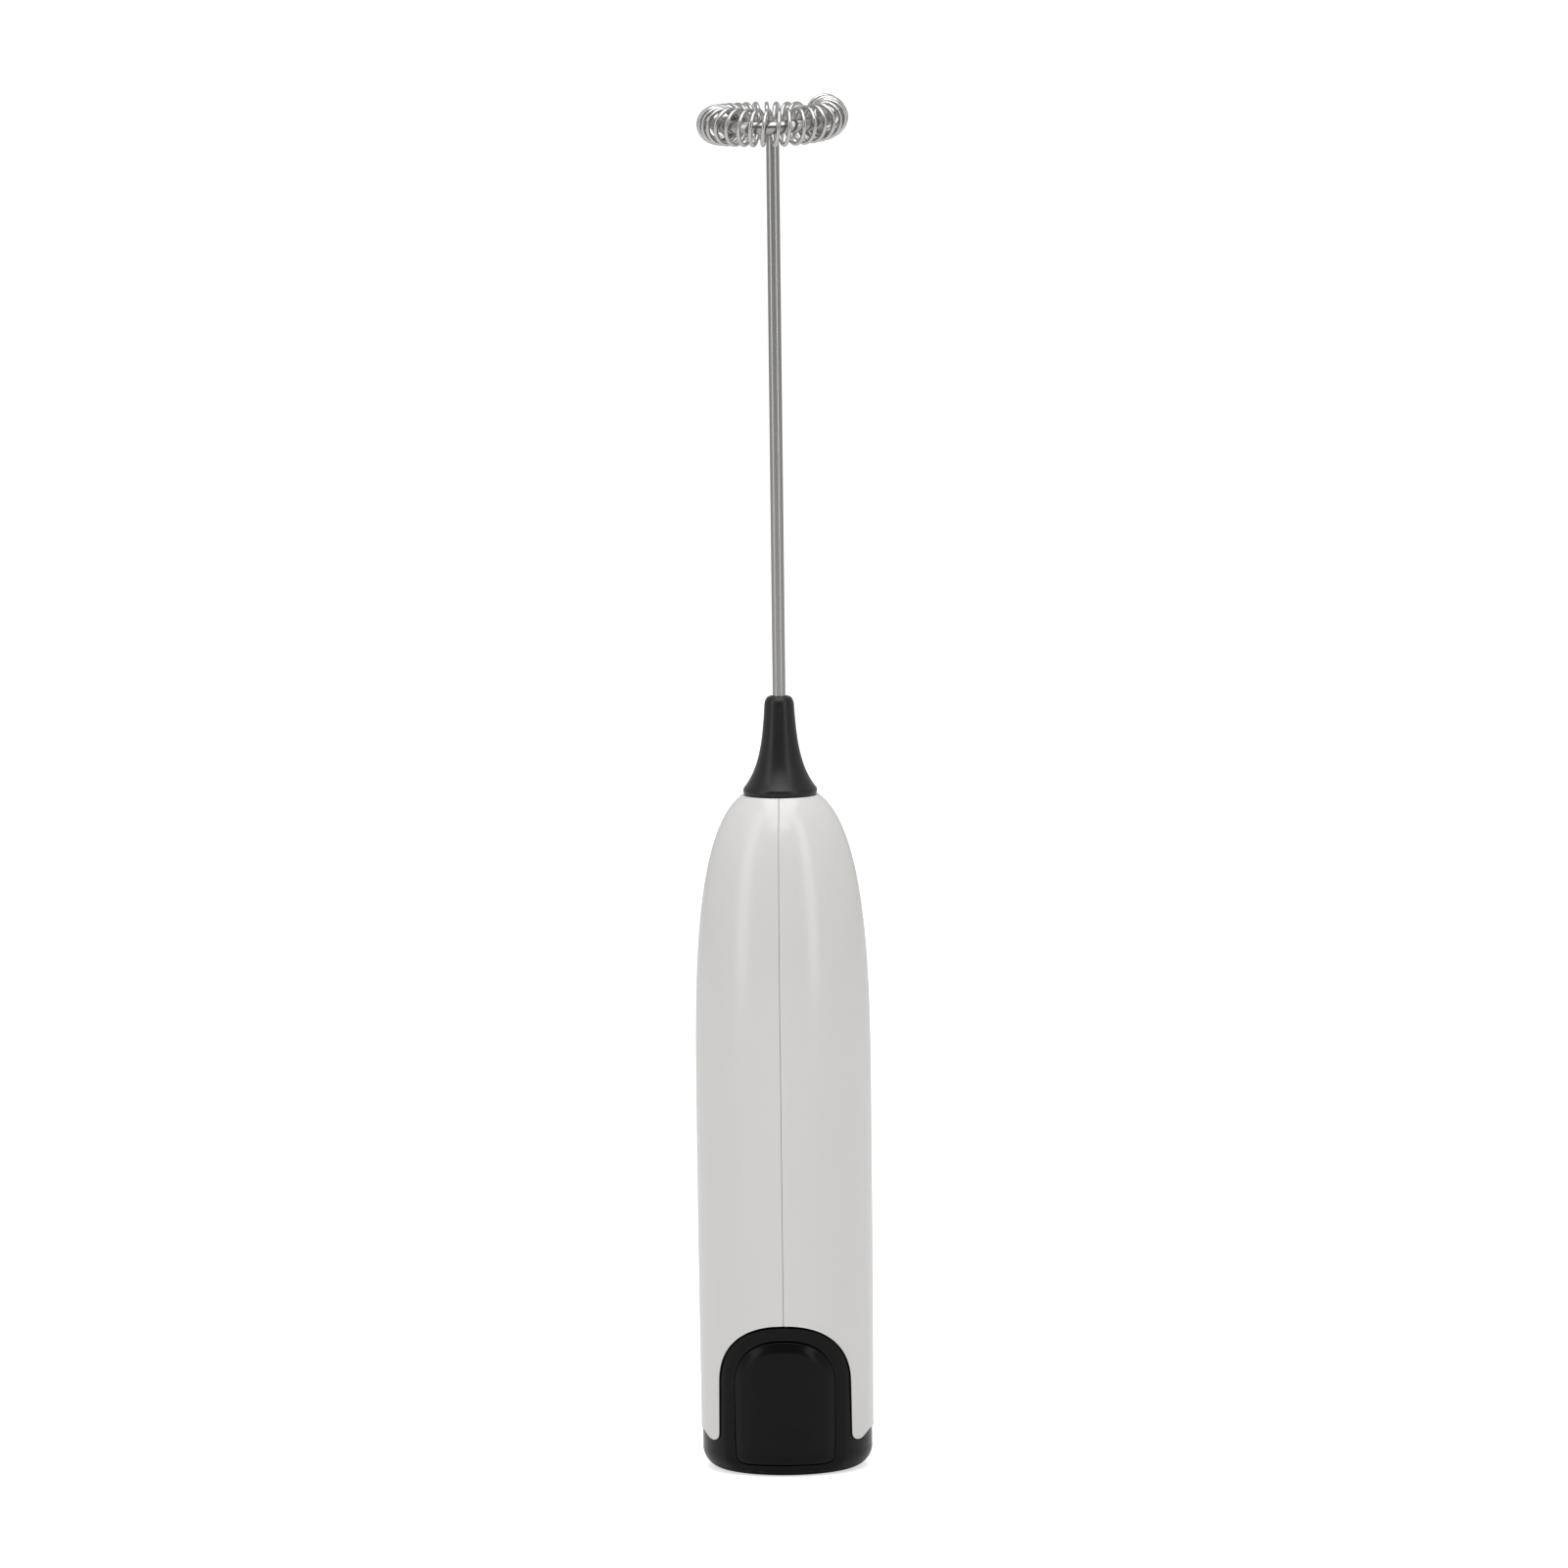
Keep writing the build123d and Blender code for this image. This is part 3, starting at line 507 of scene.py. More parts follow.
class Finishes:
    """Every finish of the frother, built once and found by its material slot."""

    WHITE = Moulded("gloss_white", (0.674, 0.666, 0.652), (0.656, 0.646, 0.63), (0.17, 0.22),
                    grain=(900.0, 0.0012), polish=0.12)
    BLACK = Moulded("gloss_black", (0.0028, 0.0028, 0.003), (0.0045, 0.0045, 0.0048), (0.16, 0.24),
                    grain=(700.0, 0.002), mirror=0.14)
    BUTTON = Moulded("button_black", (0.0026, 0.0026, 0.0028), (0.0042, 0.0042, 0.0044), (0.17, 0.26),
                     grain=(800.0, 0.002), mirror=0.14)
    SATIN = Moulded("satin_black", (0.0075, 0.0075, 0.0078), (0.0115, 0.0115, 0.0118), (0.28, 0.36),
                    grain=(4200.0, 0.006), mirror=0.36)
    RUBBER = Moulded("seal_rubber", (0.02, 0.02, 0.02), (0.035, 0.033, 0.03), (0.6, 0.75),
                     grain=(3500.0, 0.01))
    TRAY = Moulded("tray_grey", (0.32, 0.33, 0.34), (0.27, 0.28, 0.29), (0.4, 0.55), grain=(2800.0, 0.008))
    CARRIER = Moulded("carrier_black", (0.03, 0.03, 0.032), (0.045, 0.045, 0.045), (0.35, 0.5),
                      grain=(2600.0, 0.006))
    NYLON = Moulded("motor_nylon", (0.72, 0.69, 0.6), (0.62, 0.57, 0.46), (0.4, 0.5), grain=(2600.0, 0.005))
    RED = Moulded("red_sleeve", (0.5, 0.02, 0.015), (0.36, 0.02, 0.015), (0.3, 0.42), grain=(1500.0, 0.006))
    BLUE = Moulded("blue_sleeve", (0.02, 0.07, 0.42), (0.02, 0.05, 0.3), (0.3, 0.42), grain=(1500.0, 0.006))
    DISC = Moulded("capacitor_glaze", (0.62, 0.29, 0.06), (0.5, 0.2, 0.04), (0.25, 0.4),
                   grain=(1300.0, 0.02))
    SLEEVE = Sleeve("cell_sleeve", (0.05, 0.055, 0.06), (0.09, 0.09, 0.1), (0.22, 0.32), metallic=0.6)
    CELL = Drawn("cell_steel", (0.62, 0.61, 0.59), (0.5, 0.49, 0.47), (0.2, 0.34), along=(0.1, 0.1, 1.0))
    NICKEL = Drawn("contact_nickel", (0.66, 0.63, 0.57), (0.56, 0.53, 0.47), (0.2, 0.35),
                   along=(0.05, 1.0, 1.0))
    BRONZE = Drawn("contact_bronze", (0.62, 0.38, 0.18), (0.5, 0.28, 0.12), (0.24, 0.4),
                   along=(1.0, 0.05, 0.05))
    STEEL = Drawn("motor_steel", (0.52, 0.52, 0.5), (0.4, 0.4, 0.38), (0.28, 0.42), along=(1.0, 1.0, 0.03))
    SHAFT = Drawn("ground_steel", (0.6, 0.6, 0.59), (0.5, 0.5, 0.49), (0.14, 0.24), along=(0.05, 0.05, 1.0))
    BRASS = Drawn("turned_brass", (0.74, 0.52, 0.2), (0.62, 0.4, 0.14), (0.18, 0.32),
                  along=(0.05, 0.05, 1.0))
    COPPER = Drawn("commutator_copper", (0.78, 0.34, 0.18), (0.5, 0.2, 0.1), (0.2, 0.38),
                   along=(0.05, 0.05, 1.0))
    WIRE = Drawn("whisk_steel", (0.43, 0.425, 0.415), (0.36, 0.355, 0.345), (0.16, 0.24),
                 along=(0.4, 0.4, 0.01), streak_depth=0.0003)
    COIL = Drawn("coil_steel", (0.6, 0.595, 0.585), (0.46, 0.455, 0.445), (0.16, 0.28),
                 along=(1.0, 1.0, 1.0), streak_depth=0.001)
    SINTER = Sintered("sintered_bronze", (0.56, 0.4, 0.22), (0.5, 0.35, 0.2), (0.4, 0.55))
    # its pores darkened with painted shade
    FERRITE = Sintered("ferrite_grey", (0.07, 0.07, 0.075), (0.05, 0.05, 0.05), (0.5, 0.65), metallic=0.1,
                       pore_shade=(0.03, 0.03, 0.032))
    CORE = Layered("core_laminations", (0.42, 0.42, 0.41), (0.3, 0.3, 0.3), (0.3, 0.45), pitch=0.5)
    # painted shade between the wound wires
    WINDING = Layered("enamelled_winding", (0.55, 0.16, 0.05), (0.4, 0.1, 0.03), (0.2, 0.3), pitch=0.22,
                      across="X", groove_shade=(0.1, 0.02, 0.01))

    SLOTS = {
        "white_shell": WHITE, "black_gloss": BLACK, "black_button": BUTTON, "black_satin": SATIN,
        "rubber_seal": RUBBER, "tray_plastic": TRAY, "carrier_plastic": CARRIER, "cell_steel": CELL,
        "cell_jacket": SLEEVE, "contact_nickel": NICKEL, "contact_bronze": BRONZE, "motor_steel": STEEL,
        "sintered_bronze": SINTER, "motor_nylon": NYLON, "ferrite": FERRITE, "copper": COPPER,
        "enamel_copper": WINDING, "core_steel": CORE, "shaft_steel": SHAFT, "coupling_brass": BRASS,
        "whisk_steel": WIRE, "coil_steel": COIL, "red_sleeve": RED, "blue_sleeve": BLUE,
        "capacitor_disc": DISC,
    }

    def __init__(self) -> None:
        """Build the shared effects and every material."""
        groups = GroupMaker()
        self.materials = {slot: finish.build(groups) for slot, finish in self.SLOTS.items()}

    def dress(self, piece: bpy.types.Object, slot: str) -> None:
        """Give a piece the finish of a material slot."""
        piece.data.materials.clear()
        piece.data.materials.append(self.materials[slot])


# ---------------------------------------------------------------- shapes that the pieces share


@dataclass(frozen=True)
class HandleLine:
    """Side view of the handle: a slightly tapered barrel under a rounded dome. Millimetres."""

    body_r: float = 13.5
    foot_r: float = 13.28
    dome_z: float = 57.0
    dome_rise: float = 48.6
    dome_power: float = 3.0
    joint_z: float = 6.2
    joint_dip: float = 1.6  # how far the joint line dips beside the tongue
    level_x: float = 12.8  # where it is level again
    shoulder_z: float = 104.2

    def radius(self, z: float, inset: float = 0.0) -> float:
        """Return the outline's radius at a height, moved in by inset."""
        if z <= self.dome_z:
            fall = (self.dome_z - z) / (self.dome_z - self.joint_z)
            return self.body_r - inset - (self.body_r - self.foot_r) * fall**2
        rise = (z - self.dome_z) / (self.dome_rise - inset)
        return (self.body_r - inset) * max(1 - rise**self.dome_power, 0.0) ** (1 / self.dome_power)


@dataclass(frozen=True)
class Arch:
    """Front view of a tall arch: straight sides under a full round crown. Millimetres."""

    half: float
    foot_half: float
    foot_z: float
    rise: float
    spring_z: float = 14.0
    power: float = 2.3

    def crown(self, count: int = 60) -> list[Flat]:
        """Return the right half of the crown, from its top to the side."""
        line = []
        for angle in spread(90, 0, count):
            across, up = math.cos(math.radians(angle)), math.sin(math.radians(angle))
            line.append((self.half * max(across, 0) ** (2 / self.power),
                         self.spring_z + self.rise * max(up, 0) ** (2 / self.power)))
        return line

    def corner(self, radius: float, after: Flat, count: int = 12) -> list[Flat]:
        """Return the fillet at the side's foot.

        Args:
            radius: Radius of the fillet.
            after: Point that the outline goes on to.
            count: Number of points.

        Returns:
            The fillet's points, from the side to the foot.
        """
        corner = Vector((self.foot_half, self.foot_z))
        up = (Vector((self.half, self.spring_z)) - corner).normalized()
        on = (Vector(after) - corner).normalized()
        half_angle = up.angle(on) / 2
        reach = radius / math.tan(half_angle)
        centre = corner + (up + on).normalized() * radius / math.sin(half_angle)
        first, last = corner + up * reach - centre, corner + on * reach - centre
        return [tuple(centre + first.slerp(last, share)) for share in spread(0, 1, count)]


HANDLE = HandleLine()
TONGUE = Arch(half=10.05, foot_half=10.38, foot_z=HANDLE.joint_z - HANDLE.joint_dip, rise=9.23)


def joint_outline(side_gap: float, top_gap: float, rise: float, root: float) -> list[list[Flat]]:
    """Front view of the line where the handle meets the end cap, in the right half.

    Args:
        side_gap: Distance kept from the tongue's sides.
        top_gap: Distance kept over the tongue's top.
        rise: Distance kept over the joint line.
        root: Fillet where the tongue meets the joint line.

    Returns:
        The tongue's crown, its side with the fillet, and the joint line's climb until it is level.
    """
    arch = Arch(TONGUE.half + side_gap, TONGUE.foot_half + side_gap, TONGUE.foot_z + rise,
                TONGUE.rise + top_gap)
    level = (HANDLE.level_x, HANDLE.joint_z + rise)
    fillet = arch.corner(root, level)
    return [arch.crown(), arch.crown()[-1:] + fillet, [fillet[-1], level]]


def edge_columns(outlines: Sequence[Sequence[Flat]], counts: Sequence[int], outside: Callable[[float], float],
                 inside: Callable[[float], float]) -> list[EdgePoint]:
    """Spread a moulding's columns along its edge, from the tongue's crown round to the rear.

    Args:
        outlines: Crown, side and climb of the edge, seen from the front.
        counts: Columns over the crown, down the side and round the joint.
        outside: Outer radius at a height.
        inside: Inner radius at a height.

    Returns:
        (turn outside, height, turn inside) for each column.
    """
    crown, side, climb = outlines
    front = [[(math.asin(x / outside(z)), z, math.asin(min(x / inside(z), 1))) for x, z in part]
             for part in (crown, side)]
    root_turn, _, root_inner = front[1][-1]
    level_turn, level_z = math.asin(climb[-1][0] / outside(climb[-1][1])), climb[-1][1]

    def height(turn: float) -> float:
        """Return the joint line's height at a turn past the root."""
        if turn >= level_turn:
            return level_z
        x = math.sin(turn) * outside(level_z)
        return climb[0][1] + (level_z - climb[0][1]) * max(x - climb[0][0], 0) / (climb[-1][0] - climb[0][0])

    turns = [root_turn + (math.pi - root_turn) * share for share in spread(0, 1, 120)]
    inner_gain = (math.pi - root_inner) / (math.pi - root_turn)
    front.append([(turn, height(turn), root_inner + (turn - root_turn) * inner_gain) for turn in turns])
    flat = [[(turn * HANDLE.foot_r, z, inner) for turn, z, inner in part] for part in front]
    return [(across / HANDLE.foot_r, z, inner) for across, z, inner in pace_out(flat, counts)]


# ---------------------------------------------------------------- handle


@dataclass
class HandleShells:
    """The two white halves of the handle."""

    wall: float = 1.6
    seam: float = 0.04
    collar_r: float = 4.3
    collar_z: float = 101.2
    side_gap: float = 0.12
    top_gap: float = 0.4
    root: float = 0.8
    edge: float = 0.22
    seam_edge: float = 0.09
    beside_seam: float = 0.3  # where the columns next to the seam run
    even_z: float = 52.0  # height where the columns have spread out evenly
    tie_z: float = 54.5  # row between the skirt and the dome
    columns: tuple[int, int, int] = (34, 20, 64)  # over the crown, down the side, round the joint
    skirt_rows: int = 46
    dome_rows: int = 44
    ribs_z: tuple[float, ...] = (60.3, 72.0, 83.0)
    rib_height: float = 1.2
    rib_bore: float = 10.15
    rib_bite: float = 0.3
    rib_short: float = 0.2  # degrees that a rib stops before the seam

    def foot_line(self) -> list[EdgePoint]:
        """Return the shells' lower edge for each column, front to back."""
        outlines = joint_outline(self.side_gap, self.top_gap, 0.05, self.root)
        return edge_columns(outlines, self.columns, HANDLE.radius, lambda z: HANDLE.radius(z, self.wall))

    def rows(self) -> list[tuple[str, float]]:
        """Return the rows of the section: up outside, over the collar, down inside, and back to the first."""
        dome = [HANDLE.dome_z + (HANDLE.shoulder_z - HANDLE.dome_z) * math.sin(math.radians(a))
                for a in spread(0, 90, self.dome_rows)]
        inner_dome = [HANDLE.dome_z + (self.collar_z - HANDLE.dome_z) * math.sin(math.radians(a))
                      for a in spread(90, 0, self.dome_rows // 2)]
        skirt = [(k / self.skirt_rows) ** 1.2 for k in range(self.skirt_rows + 1)]
        rows = [("skirt", share) for share in skirt] + [("outside", z) for z in (self.tie_z, *dome)]
        rows += [("top", share) for share in (0.3, 0.7, 1.0)] + [("bore", share) for share in (0.2, 0.8, 1.0)]
        rows += [("ceiling", 0.5)] + [("inside", z) for z in (*inner_dome, self.tie_z)]
        return rows + [("lining", share) for share in reversed(skirt)] + [("skirt", 0.0)]

    def build_half(self, name: str, way: int) -> bpy.types.Object:
        """Build one half.

        Args:
            name: Name of the piece.
            way: 1 for the right half, -1 for the left.

        Returns:
            The closed moulding, with its ribs.
        """
        line, rows = self.foot_line(), self.rows()
        count = len(line) - 1
        cut = self.seam / 2

        def point(column: int, z: float, turn: float, inset: float) -> Vector:
            """Put a point on the outline, keeping the columns at the seam in its plane."""
            radius = HANDLE.radius(z, inset)
            near = self.beside_seam
            first_x = {0: cut, 1: near, count - 1: near, count: cut}.get(column)
            if first_x is not None:
                turn = math.asin(first_x / radius) if column < 2 else math.pi - math.asin(first_x / radius)
            return Vector((way * radius * math.sin(turn), -radius * math.cos(turn), z))

        def place(column: int, row: int) -> Vector:
            """Find a corner's place from its column and its row."""
            kind, value = rows[row]
            turn, foot_z, inner_turn = line[column]
            even = math.pi * column / count
            if kind in ("skirt", "lining"):
                start = turn if kind == "skirt" else inner_turn
                z = foot_z + (self.even_z - foot_z) * value
                return point(column, z, start + (even - start) * value, 0.0 if kind == "skirt" else self.wall)
            if kind == "outside":
                return point(column, value, even, 0.0)
            if kind == "inside":
                return point(column, value, even, self.wall)
            top_r, ceiling_r = HANDLE.radius(HANDLE.shoulder_z), HANDLE.radius(self.collar_z, self.wall)
            radius, z = {
                "top": (top_r + (self.collar_r - top_r) * value, HANDLE.shoulder_z),
                "bore": (self.collar_r, HANDLE.shoulder_z + (self.collar_z - HANDLE.shoulder_z) * value),
                "ceiling": (self.collar_r + (ceiling_r - self.collar_r) * value, self.collar_z),
            }[kind]
            if column in (0, count):
                even = math.asin(cut / radius) if column == 0 else math.pi - math.asin(cut / radius)
            return Vector((way * radius * math.sin(even), -radius * math.cos(even), z))

        bm = bmesh.new()
        lay_grid(bm, count, len(rows) - 1, place)
        close_up(bm)
        round_edges(bm, self.edge, 3, lambda at: abs(at.x) > 2 * cut)
        round_edges(bm, self.seam_edge, 2,
                    lambda at: abs(at.x) <= 1.2 * cut and abs(at.y) > HANDLE.radius(at.z, self.wall / 2))
        for z in self.ribs_z:
            outer, top = HANDLE.radius(z, self.wall - self.rib_bite), z + self.rib_height
            rib = [(self.rib_bore, z), (outer, z), (outer, top), (self.rib_bore, top)]
            turn_profile(bm, rib, start=self.rib_short - way * 90, sweep=180 - 2 * self.rib_short, steps=48)
        bmesh.ops.recalc_face_normals(bm, faces=bm.faces)
        return make_piece(bm, name)


@dataclass
class NoseCone:
    """Trumpet-shaped nose with a rounded lip and tip, bored for its bush and spigotted into the shells."""

    lip: tuple[Flat, Flat, Flat] = ((5.5, 0.0), (5.8, 0.5), (5.62, 1.05))
    flare: tuple[Flat, Flat, Flat, Flat] = ((5.62, 1.05), (3.26, 4.0), (2.64, 7.9), (2.3, 13.9))
    tip: tuple[Flat, Flat, Flat] = ((2.3, 13.9), (2.18, 14.95), (1.6, 15.2))
    bore: tuple[Flat, ...] = ((1.3, 15.2), (1.3, 14.1), (1.8, 14.1), (1.8, 4.4), (3.1, 2.7), (3.1, -4.2))
    spigot: tuple[Flat, ...] = ((5.5, -4.2), (5.5, -3.05), (4.2, -3.05), (4.2, 0.0))

    @staticmethod
    def bend(points: Sequence[Flat], count: int) -> list[Flat]:
        """Return points along the smooth curve that its control points pull."""
        line = []
        degree = len(points) - 1
        for share in spread(0, 1, count):
            weights = [math.comb(degree, k) * share**k * (1 - share) ** (degree - k)
                       for k in range(degree + 1)]
            line.append(tuple(sum(w * p[axis] for w, p in zip(weights, points)) for axis in (0, 1)))
        return line

    def build(self) -> bpy.types.Object:
        """Build the closed cone."""
        outline = self.bend(self.lip, 8) + self.bend(self.flare, 44)[1:] + self.bend(self.tip, 10)[1:]
        outline += [*self.bore, *self.spigot]
        bm = bmesh.new()
        turn_profile(bm, [(radius, HANDLE.shoulder_z + z) for radius, z in outline], steps=112)
        close_up(bm)
        return make_piece(bm, "nose_cone_moulding")


# ---------------------------------------------------------------- end cap and button


@dataclass(frozen=True)
class CapForm:
    """Outside of the cap: a flat foot, a round corner and an upright wall. Millimetres."""

    inset: float = 0.2
    foot_round: float = 3.3
    wall: float = 1.7
    floor: float = 1.5
    lean_from: float = 6.0
    lean: float = 0.0012  # growth of the tongue's radius for each millimetre above lean_from

    @property
    def rim_r(self) -> float:
        """Radius of the wall."""
        return HANDLE.foot_r - self.inset

    @property
    def foot_r(self) -> float:
        """Radius of the flat foot."""
        return self.rim_r - self.foot_round

    @property
    def bore_r(self) -> float:
        """Radius of the cup's inside."""
        return self.rim_r - self.wall

    def outside(self, walk: float) -> Flat:
        """Return the (radius, height) at a walk outwards and up from the foot's centre."""
        if walk <= self.foot_r:
            return walk, 0.0
        lap = (walk - self.foot_r) / self.foot_round
        if lap <= math.pi / 2:
            return self.foot_r + self.foot_round * math.sin(lap), self.foot_round * (1 - math.cos(lap))
        z = self.foot_round + walk - self.foot_r - self.foot_round * math.pi / 2
        return min(self.rim_r, HANDLE.radius(z, self.inset)) + max(z - self.lean_from, 0) * self.lean, z

    def walk_to(self, z: float) -> float:
        """Return the walk to a height."""
        if z < self.foot_round:
            return self.foot_r + self.foot_round * math.acos(1 - z / self.foot_round)
        return self.foot_r + self.foot_round * math.pi / 2 + z - self.foot_round

    def inside(self, walk: float) -> Flat:
        """Return the (radius, height) at a walk over the cup's floor and up its inside."""
        return (walk, self.floor) if walk <= self.bore_r else (self.bore_r, self.floor + walk - self.bore_r)

    def inner_walk_to(self, z: float) -> float:
        """Return the walk inside to a height."""
        return self.bore_r + z - self.floor


FORM = CapForm()


@dataclass
class EndCap:
    """Glossy cup with an arched tongue, a window for the button, a collar and pivot ears."""

    window: Arch = field(default_factory=lambda: Arch(7.97, 7.97, 1.78, 7.3))
    root: float = 0.8
    window_corner: float = 1.2
    window_waist: float = 5.8  # height on the window's side that faces the tongue's root
    dip: Flat = (0.32, 1.5)  # depth of the soft fall towards the window, and its width
    dip_from: float = 0.99  # height under which the fall stops
    crowding: float = 0.12  # how much closer the rows lie at both ends
    edge: float = 0.22
    columns: tuple[int, int, int] = (34, 20, 60)
    rows: int = 60
    collar: tuple[float, float, float] = (10.2, 11.45, 9.6)  # inner and outer radius, top
    collar_soft: Flat = (0.2, 0.3)  # bevels of its top, inside and outside
    collar_y: float = -3.5  # where its ends are, beside the button
    ear: tuple[Flat, Flat, float] = ((8.1, 9.4), (-8.1, -6.9), 5.3)  # sides, front and back, top
    sunk: float = 0.1  # how far collar and ears reach into the floor

    def window_line(self) -> list[Flat]:
        """Return the window's (x, height) for each column, from its top down and in to the foot's middle."""
        corner = self.window.corner(self.window_corner, (0, self.window.foot_z))
        low = self.window.crown()[-1:] + [(self.window.half, self.window_waist)]
        foot = low[-1:] + corner + [(x, self.window.foot_z) for x in spread(corner[-1][0], 0, 12)[1:]]
        return pace_out((self.window.crown(), low, foot), self.columns)

    def tongue_line(self) -> list[EdgePoint]:
        """Return the cap's upper edge for each column, front to back."""
        return edge_columns(joint_outline(0, 0, 0, self.root), self.columns,
                            lambda z: FORM.outside(FORM.walk_to(z))[0], lambda z: FORM.bore_r)

    @staticmethod
    def _turns(x: float, z: float) -> tuple[float, float, float]:
        """Return (turn outside, height, turn inside) of a point seen from the front."""
        outer = FORM.outside(FORM.walk_to(z))[0]
        return math.asin(min(x / outer, 1)), z, math.asin(min(x / FORM.bore_r, 1))

    def build(self) -> bpy.types.Object:
        """Build the closed cup with its collar and ears."""
        window, tongue = self.window_line(), self.tongue_line()
        fence = [Vector(point) for point in evenly(window, 240)]

        def chart(turn: float, walk: float) -> Vector:
            """Lay a turn and a walk out flat."""
            return Vector((walk * math.sin(turn), -walk * math.cos(turn)))

        def place(column: int, row: int) -> Vector:
            """Find a corner on the outside first, then on the inside."""
            outer = row <= self.rows
            share = (row if outer else 2 * self.rows + 1 - row) / self.rows
            if row == 2 * self.rows + 2:
                outer, share = True, 0.0
            share -= self.crowding * math.sin(math.tau * share) / math.tau
            x, z = window[column]
            turns = self._turns(x, z)
            to_turn, to_z, to_inner = tongue[column]
            if outer:
                start, end = chart(turns[0], FORM.walk_to(z)), chart(to_turn, FORM.walk_to(to_z))
            else:
                start = chart(turns[2], FORM.inner_walk_to(z))
                end = chart(to_inner, FORM.inner_walk_to(to_z))
            at = start.lerp(end, share)
            radius, height = FORM.outside(at.length) if outer else FORM.inside(at.length)
            turn = math.atan2(at.x, -at.y) if column < len(window) - 1 or at.y < 0 else math.pi
            if outer and at.y < 0:
                seen = Vector((radius * math.sin(turn), height))
                away = min((post - seen).length for post in fence)
                fall = self.dip[0] * (1 - smooth_step(0, self.dip[1], away))
                radius -= fall if height > self.dip_from else 0.0
            if column in (0, len(window) - 1):
                turn = 0.0 if at.y < 0 else math.pi
            return Vector((radius * math.sin(turn), -radius * math.cos(turn), height))

        bm = bmesh.new()
        lay_grid(bm, len(window) - 1, 2 * self.rows + 2, place)
        mirror_half(bm)
        round_edges(bm, self.edge, 3, lambda at: at.z > 1.0)
        self.add_collar(bm)
        self.add_ears(bm)
        bmesh.ops.recalc_face_normals(bm, faces=bm.faces)
        return make_piece(bm, "end_cap_moulding")

    def add_collar(self, bm: bmesh.types.BMesh) -> None:
        """Add the collar that plugs into the handle, open towards the button."""
        inner, outer, top = self.collar
        low = FORM.floor - self.sunk
        inner_soft, outer_soft = self.collar_soft
        section = [(inner, low), (outer, low), (outer, top - outer_soft), (outer - outer_soft, top),
                   (inner + inner_soft, top), (inner, top - inner_soft)]
        side_turn = math.degrees(math.asin(-self.collar_y / outer))
        turn_profile(bm, section, start=-side_turn, sweep=180 + 2 * side_turn, steps=80)

    def add_ears(self, bm: bmesh.types.BMesh) -> None:
        """Add the two ears that the button's pins turn in."""
        (near, far), deep, top = self.ear
        for x in ((near, far), (-far, -near)):
            add_block(bm, x, deep, (FORM.floor - self.sunk, top))


@dataclass
class PushButton:
    """Arched push pad with soft edges and a shallow dish, two pivot pins and a nib."""

    arch: Arch = field(default_factory=lambda: Arch(7.85, 7.85, 1.9, 7.0))
    corner: float = 1.2
    inset: float = 0.05
    soft: Flat = (0.4, 1.7)  # fall of the edge and its width
    dish: tuple[float, float, float] = (0.12, 2.0, 7.2)  # depth, and where it starts and ends from the edge
    spine: Flat = (9.2, 14.2)  # heights between which the rows start, on the middle line
    edge: float = 0.22
    pivot: Flat = (-8.3, 3.5)
    pin: tuple[float, float, float] = (0.7, 2.6, 7.9)  # radius, length, distance of its middle
    lug: tuple[Flat, float, float] = ((6.4, 7.5), -9.7, 1.1)  # sides, front, half its height
    nib: tuple[Flat, Flat, Flat] = ((-1.5, 1.5), (-12.0, -10.6), (15.7, 17.3))
    columns: tuple[int, int, int] = (34, 24, 22)
    rows: int = 26
    crowding: float = 1.25  # above 1 the rows lie closer at the edge

    def outline(self) -> list[Flat]:
        """Return the right half of the pad's outline, from its top to the foot's middle."""
        corner = self.arch.corner(self.corner, (0, self.arch.foot_z))
        foot = corner + [(x, self.arch.foot_z) for x in spread(corner[-1][0], 0, 12)[1:]]
        side = self.arch.crown()[-1:] + corner[:1]
        return pace_out((self.arch.crown(), side, foot), self.columns)

    def build(self) -> bpy.types.Object:
        """Build the closed pad with its pins and nib."""
        line = self.outline()
        fence = [Vector(point) for point in evenly(line, 200)]

        def place(column: int, row: int) -> Vector:
            """Find a corner on the face first, then on the back."""
            face = row <= self.rows
            share = 1 - (1 - (row if face else 2 * self.rows + 1 - row) / self.rows) ** self.crowding
            x, z = line[column]
            x, z = x * share, z + (min(max(z, self.spine[0]), self.spine[1]) - z) * (1 - share)
            if not face:
                return Vector((x, -math.sqrt(FORM.bore_r**2 - x**2), z))
            away = min((post - Vector((x, z))).length for post in fence)
            fall = self.soft[0] * (1 - smooth_step(-0.4, self.soft[1], away))
            fall += self.dish[0] * smooth_step(self.dish[1], self.dish[2], away)
            radius = FORM.outside(FORM.walk_to(z))[0] - self.inset - fall
            return Vector((x, -math.sqrt(radius**2 - x**2), z))

        bm = bmesh.new()
        lay_grid(bm, len(line) - 1, 2 * self.rows + 1, place)
        mirror_half(bm)
        round_edges(bm, self.edge, 3, lambda at: True)
        self.add_pivots(bm)
        add_block(bm, *self.nib)
        bmesh.ops.recalc_face_normals(bm, faces=bm.faces)
        return make_piece(bm, "power_button_moulding")

    def add_pivots(self, bm: bmesh.types.BMesh) -> None:
        """Add a lug with its pin on both sides of the pad's foot."""
        pivot_y, pivot_z = self.pivot
        radius, length, out = self.pin
        (near, far), front, half = self.lug
        for way in (-1, 1):
            across = tuple(sorted((way * near, way * far)))
            add_block(bm, across, (front, pivot_y + half), (pivot_z - half, pivot_z + half))
            move = Matrix.Translation(Vector((way * out, pivot_y, pivot_z)) * MM)
            bmesh.ops.create_cone(bm, cap_ends=True, segments=32, radius1=radius * MM, radius2=radius * MM,
                                  depth=length * MM, matrix=move @ Matrix.Rotation(math.pi / 2, 4, "Y"))


# ---------------------------------------------------------------- whisk


